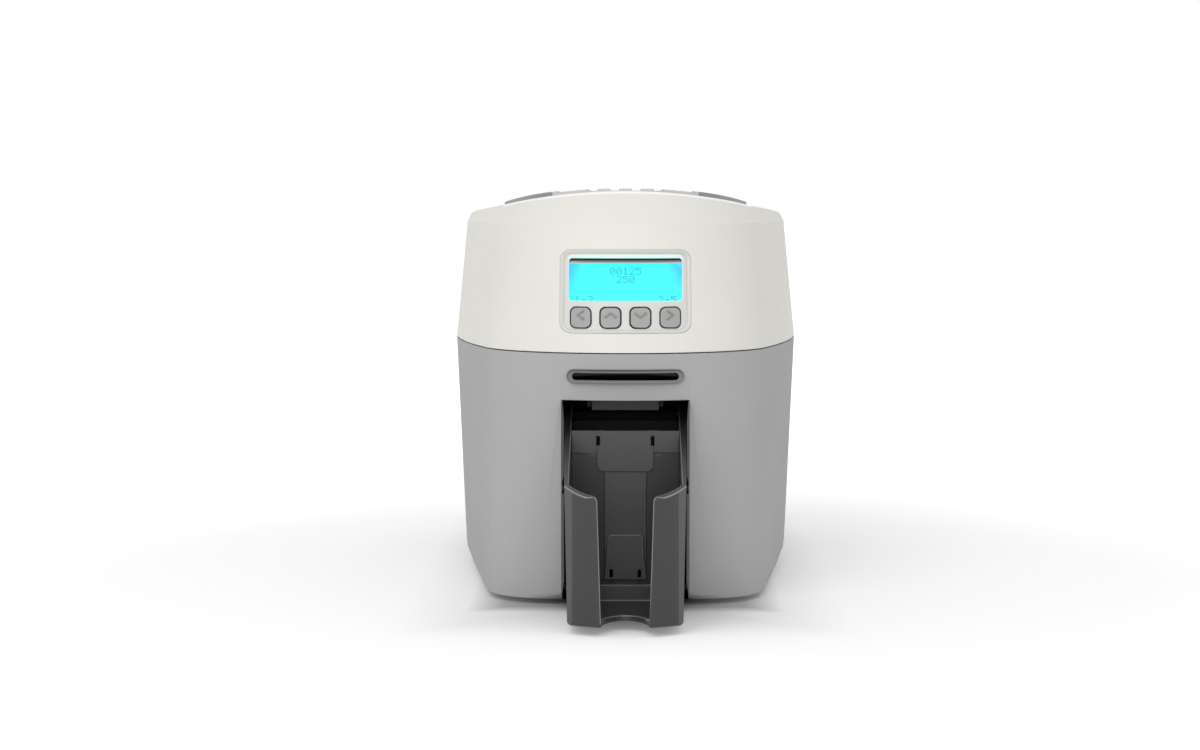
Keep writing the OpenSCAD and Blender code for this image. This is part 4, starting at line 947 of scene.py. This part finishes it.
@dataclass
class Lid(Workshop):
    """The white lid, its ribbed panel and the release button."""

    edge: float = 0.0005
    shell_edge: float = 0.0006
    crown_highlight_edge: float = 0.0017
    crease: float = 0.208
    rib_half: float = 0.0395
    shoulder: float = 0.0014
    band_lift: float = 0.0008

    def build(self) -> None:
        """Builds the lid's outer pieces."""
        self.shell()
        self.crown()
        self.dress(
            self.node_copy("release_button"), self.edge, "release_button", "release_cap",
            "release", KEY,
        )

    def shell(self) -> None:
        """The white moulding, with a painted highlight on the rounded crown edge, and raised front
        corners.
        """
        bm = self.node_copy("lid_cover")
        for vert in bm.verts:
            share = share_of((abs(vert.co.x) - 0.072) / 0.017)
            if vert.co.z > self.crease + 0.0005 and share > 0.0:
                vert.co.z += self.shoulder * share
                vert.co.x *= 1.0 + 0.007 * share
        # The crown edge's rounding gets slot 1, the painted highlight.
        self.soften(
            bm, self.crown_highlight_edge, segments=4, trim=1,
            keep=lambda p: p.z > self.crease + 0.003 and p.y < -0.05,
        )
        self.dress(
            bm, self.shell_edge, "lid_cover", "lid_shell", "lid", LID, trims=[CROWN_HIGHLIGHT],
            folded=lambda p: abs(p.z - self.crease) < 0.0004 and p.y < 0.2,
        )

    def crown(self) -> None:
        """The ribbed panel between its two raised bands, its ribbed middle painted near-white as
        highlight.
        """
        bm = self.node_copy("top_panel")
        # Faces of the ribbed middle get slot 1, the painted highlight.
        for face in bm.faces:
            face.material_index = int(abs(face.calc_center_median().x) < self.rib_half)
        for vert in bm.verts:
            if abs(vert.co.x) > self.rib_half:
                vert.co.z += self.band_lift
        self.dress(bm, self.edge, "top_panel", "crown_panel", "lid", PANEL, trims=[RIBS_HIGHLIGHT])


@dataclass
class Controls(Workshop):
    """The control bezel with its display and keys."""

    faces: FrontFaces = field(default_factory=FrontFaces)
    window_width: float = 0.061
    window_height: float = 0.0244
    window_v: float = 0.0068
    key_v: float = -0.0146
    mark_v: float = 0.0014
    mark_depth: float = 0.00035
    mark_radius: float = 0.0007
    pitch: float = 0.016
    glass_half: float = 0.0304
    glass_n: float = -0.0104
    dot: float = 0.00058
    dot_height: float = 0.00025

    def build(self) -> None:
        """Builds the bezel, the display and the keys."""
        self.bezel()
        self.display_frame()
        self.figures()
        for index, (key, turn) in enumerate(
            (("left", 90), ("up", 0), ("down", 180), ("right", -90))
        ):
            self.key(index, key, turn)

    def bezel(self) -> None:
        """The white bezel, the bead round it and the window's chamfer, which glows cyan as painted
        light from the display, wider at its top.
        """
        bm = self.node_copy("control_bezel")
        self.dress(bm, 0.0004, "control_bezel", "bezel_face", "lid", BEZEL)
        self.ring(
            "bezel_bead", BEZEL, 0.0, (0.0706, 0.0464, 0.0062),
            ((0.0, -0.0004), (0.0001, 0.0001), (0.0004, 0.0003), (0.0008, 0.0001),
             (0.0021, -0.00115)),
        )
        size = (self.window_width + 0.0011, self.window_height + 0.0019, 0.0024)
        steps = ((0.0, -0.0011), (0.0001, -0.001), (0.0006, -0.002))
        # The chamfer round the window carries the painted glow.
        self.ring("window_rim_glow", RIM_GLOW_PAINT, self.window_v + 0.0004, size, steps, drop=0.0014)

    def ring(
        self, name: str, finish: Finish, v: float, size: Point, steps: Sequence[Pair],
        drop: float = 0.0,
    ) -> None:
        """Adds a moulded ring round an opening, made of loops that step inwards.

        Args:
            name: Name of the piece.
            finish: Its finish.
            v: Height of its middle up the slope.
            size: Width, height along the slope and corner radius of its outer loop.
            steps: Distance inwards and standing out of each loop.
            drop: How much further its upper side comes in at the last loop.
        """
        width, height, radius = size
        bm = bmesh.new()
        loops = []
        for k, (inset, proud) in enumerate(steps):
            lower = drop * k / (len(steps) - 1)
            shape = rounded_rectangle(
                width - 2 * inset, height - 2 * inset - lower, max(0.0006, radius - inset)
            )
            loops.append([
                bm.verts.new(self.faces.on_lid(x, v - lower / 2 + w, proud)) for x, w in shape
            ])
        self.bridge(bm, loops)
        self.piece(bm, name, "lid", finish, crease=60.0, outwards=False)

    def plate(self, bm: BMesh, across: Pair, up: Pair, thickness: float) -> None:
        """Adds a flat plate on the glass.

        Args:
            bm: Mesh to add to.
            across: Its left and right side.
            up: Its lower and upper side, along the slope.
            thickness: How far it stands out of the glass.
        """
        (x0, x1), (v0, v1) = across, up
        corners = [(x0, v0), (x1, v0), (x1, v1), (x0, v1)]
        back = [self.faces.on_plane(x, v, self.glass_n) for x, v in corners]
        front, base = self.faces.on_plane(0, 0, thickness), self.faces.on_plane(0, 0, 0)
        self.slab(bm, back, tuple(a - b for a, b in zip(front, base)))

    def display_frame(self) -> None:
        """A black strip as painted shadow of the window's top wall, the frame, and a white strip as
        painted highlight on its edge, along the top of the glass.
        """
        top = self.window_v + self.window_height / 2
        for name, finish, high, low, proud in (
            # Black strip: painted shadow. White strip: painted highlight.
            ("display_top_shadow", BLACK, 0.0, 0.002, 0.0009),
            ("display_frame", FRAME, 0.002, 0.0031, 0.0007),
            ("display_edge_highlight", BEZEL, 0.0031, 0.0036, 0.0008),
        ):
            bm = bmesh.new()
            across = (-self.glass_half, self.glass_half)
            self.plate(bm, across, (top - low, top - high), proud)
            self.piece(bm, name, "lid", finish)

    def figures(self) -> None:
        """Plain figures on the display, in small square dots."""
        digits = {
            "0": (14, 17, 19, 21, 25, 17, 14), "1": (4, 12, 4, 4, 4, 4, 14),
            "2": (14, 17, 1, 2, 4, 8, 31), "5": (31, 16, 30, 1, 1, 17, 14),
            "-": (0, 0, 0, 14, 0, 0, 0),
        }
        rows = (("00125", 0.0, 0.0125), ("250", 0.0, 0.0078),
                ("1-2", -0.0225, -0.0035), ("2-5", 0.0225, -0.0035))
        bm = bmesh.new()
        dots = (
            (middle - (len(text) * 6 - 1) * self.dot / 2 + (k * 6 + column) * self.dot,
             v - row * self.dot)
            for text, middle, v in rows
            for k, sign in enumerate(text)
            for row, bits in enumerate(digits[sign])
            for column in range(5) if bits >> (4 - column) & 1
        )
        for x, v in dots:
            self.plate(bm, (x, x + self.dot), (v, v + self.dot), self.dot_height)
        self.piece(bm, "display_figures", "lid", FIGURE)

    def key(self, index: int, key: str, turn: float) -> None:
        """One key with its arrow.

        Args:
            index: Its place in the row.
            key: Its name.
            turn: Angle of the arrow from upright, in degrees.
        """
        node, body = "button_" + key, "key_" + key
        self.dress(self.node_copy(node), 0.0005, node, key + "_keycap", body, KEY, segments=3)
        middle = (index - 1.5) * self.pitch
        a = math.radians(turn)
        arm, rise = (0.0024, 0.0016) if abs(turn) == 90 else (0.0031, 0.0013)
        path = []
        for x, v in ((-arm, -rise), (0.0, rise), (arm, -rise)):
            across = x * math.cos(a) - v * math.sin(a)
            up = x * math.sin(a) + v * math.cos(a)
            v_mark = self.key_v + self.mark_v + up
            path.append(self.faces.on_lid(middle + across, v_mark, -self.mark_depth))
        self.piece(self.wire(path, self.mark_radius), key + "_mark", body, CHEVRON)


class Interior:
    """Every other frame node, which keeps its shape and gets its finish; the bay and the feed
    throat get a darker copy as painted shade.
    """

    # Nodes deep inside get the darker copy, as painted shade.
    shaded_inside = {"feed_throat": INNER_SHADE, "hopper_bay": INNER_SHADE}

    def build(self) -> None:
        """Gives each node the finish of its slot."""
        for row in frame["record"]["subparts"]:
            node = frame["nodes"].get(row["node"])
            finish = self.shaded_inside.get(row["node"]) or FINISHES.get(row["material_slot"])
            if node is None or finish is None:
                LOG.warning("no finish for %s", row)
                continue
            if not node.material_slots:
                node.data.materials.append(finish.material())
            for held in node.material_slots:
                held.link = "OBJECT"
                held.material = finish.material()
            LOG.info("%s: %s", row["node"], finish.slot)


@dataclass
class Studio:
    """The floor, the light and the camera."""

    distance: float = 1.526
    height: float = 0.218
    lens: float = 78.0
    sensor: float = 36.0
    pitch: float = 3.74
    yaw: float = 0.561
    sky: float = 0.72
    floor_radius: float = 30.0
    lift_near: float = 0.25
    lift_far: float = 0.65
    middle: float = 0.04
    # Half-width and half-depth of two boxes round the printer: glow is withheld in the first, and
    # the ground colour is painted dark in the second.
    shade: Pair = (0.03, 0.17)
    painted_shadow_box: Pair = (0.078, 0.175)

    def build(self) -> None:
        """Sets the whole stage."""
        self.camera()
        self.world()
        self.floor()
        self.lamps()
        bpy.context.scene.view_settings.view_transform = "Standard"

    def camera(self) -> None:
        """The camera in front of the printer."""
        data = bpy.data.cameras.new("camera")
        data.lens = self.lens
        data.sensor_width = self.sensor
        data.clip_end = 100.0
        made = stand("camera", data)
        made.location = (0.0, -self.distance, self.height)
        made.rotation_euler = (math.radians(90 - self.pitch), 0.0, math.radians(self.yaw))
        bpy.context.scene.camera = made

    def seen(self, g: Graph) -> Socket:
        """Returns 1 for camera, glossy and transmission rays."""
        path = g.node("LightPath").outputs
        both = g.math("MAXIMUM", path["Is Camera Ray"], path["Is Glossy Ray"])
        return g.math("MAXIMUM", both, path["Is Transmission Ray"])

    def world(self) -> None:
        """An even white sky, full white where it is seen."""
        world = bpy.data.worlds.new("sky")
        g = Graph.emptied(world)
        strength = g.span(self.seen(g), 0.0, 1.0, self.sky, 1.0)
        sky = g.node("Background", {"Color": (1.0, 1.0, 1.0, 1.0), "Strength": strength})
        g.node("OutputWorld", {"Surface": sky.outputs[0]})
        bpy.context.scene.world = world

    def floor(self) -> None:
        """A wide pale floor with painted shadow: dark ground colour under the printer, and less
        glow near it than far off.
        """
        bm = bmesh.new()
        bmesh.ops.create_circle(bm, cap_ends=True, segments=64, radius=self.floor_radius)
        mesh = bpy.data.meshes.new("floor")
        bm.to_mesh(mesh)
        bm.free()
        paint = bpy.data.materials.new("floor_shadow_paint")
        g = Graph.emptied(paint)
        place = g.node("TexCoord").outputs["Object"]
        away = g.node("VectorMath", {0: place}, operation="LENGTH").outputs["Value"]
        x, y, _ = g.axes(place)
        across = g.math("ABSOLUTE", x)
        along = g.math("ABSOLUTE", g.minus(y, self.middle))
        beside, under = (
            g.math("MAXIMUM", g.minus(across, half), g.minus(along, depth))
            for half, depth in (self.shade, self.painted_shadow_box)
        )
        # Painted shadow: the ground colour goes dark under the printer's footprint, by the mask
        # under.
        dark, pale = (0.34, 0.34, 0.34, 1.0), (0.86, 0.86, 0.86, 1.0)
        matt = g.node("BsdfDiffuse", {"Color": g.mix(g.span(under, -0.012, 0.008), dark, pale)})
        # Painted shade: the glow that camera rays see is withheld near the printer and rises far
        # off.
        near = g.span(beside, 0.0, 0.09, 0.0, self.lift_near)
        far = g.span(away, 0.3, 1.0, 0.0, self.lift_far - self.lift_near)
        strength = g.times(self.seen(g), g.math("ADD", near, far))
        lit = g.node("Emission", {"Color": (1.0, 1.0, 1.0, 1.0), "Strength": strength})
        both = g.node("AddShader", {0: matt.outputs[0], 1: lit.outputs[0]})
        g.node("OutputMaterial", {"Surface": both.outputs[0]})
        mesh.materials.append(paint)
        stand("floor", mesh)

    def lamps(self) -> None:
        """Soft lamps above on the left and in front."""
        for name, place, size, power in (
            ("key_lamp", (-0.9, -1.6, 2.0), 1.4, 9.0),
            ("front_lamp", (-0.2, -2.7, 0.9), 2.4, 19.5),
        ):
            data = bpy.data.lights.new(name, "AREA")
            data.shape = "DISK"
            data.size = size
            data.energy = power
            made = stand(name, data)
            made.location = place
            aim = Vector((0.0, 0.0, 0.1)) - Vector(place)
            made.rotation_euler = aim.to_track_quat("-Z", "Y").to_euler()


def main() -> None:
    """Builds the stage and the printer's sub-assemblies in order."""
    logging.basicConfig(level=logging.INFO, format="%(name)s: %(message)s")
    for part in (Studio(), Interior(), Casing(), CardBin(), Lid(), Controls()):
        part.build()


if __name__ == "__main__":
    main()
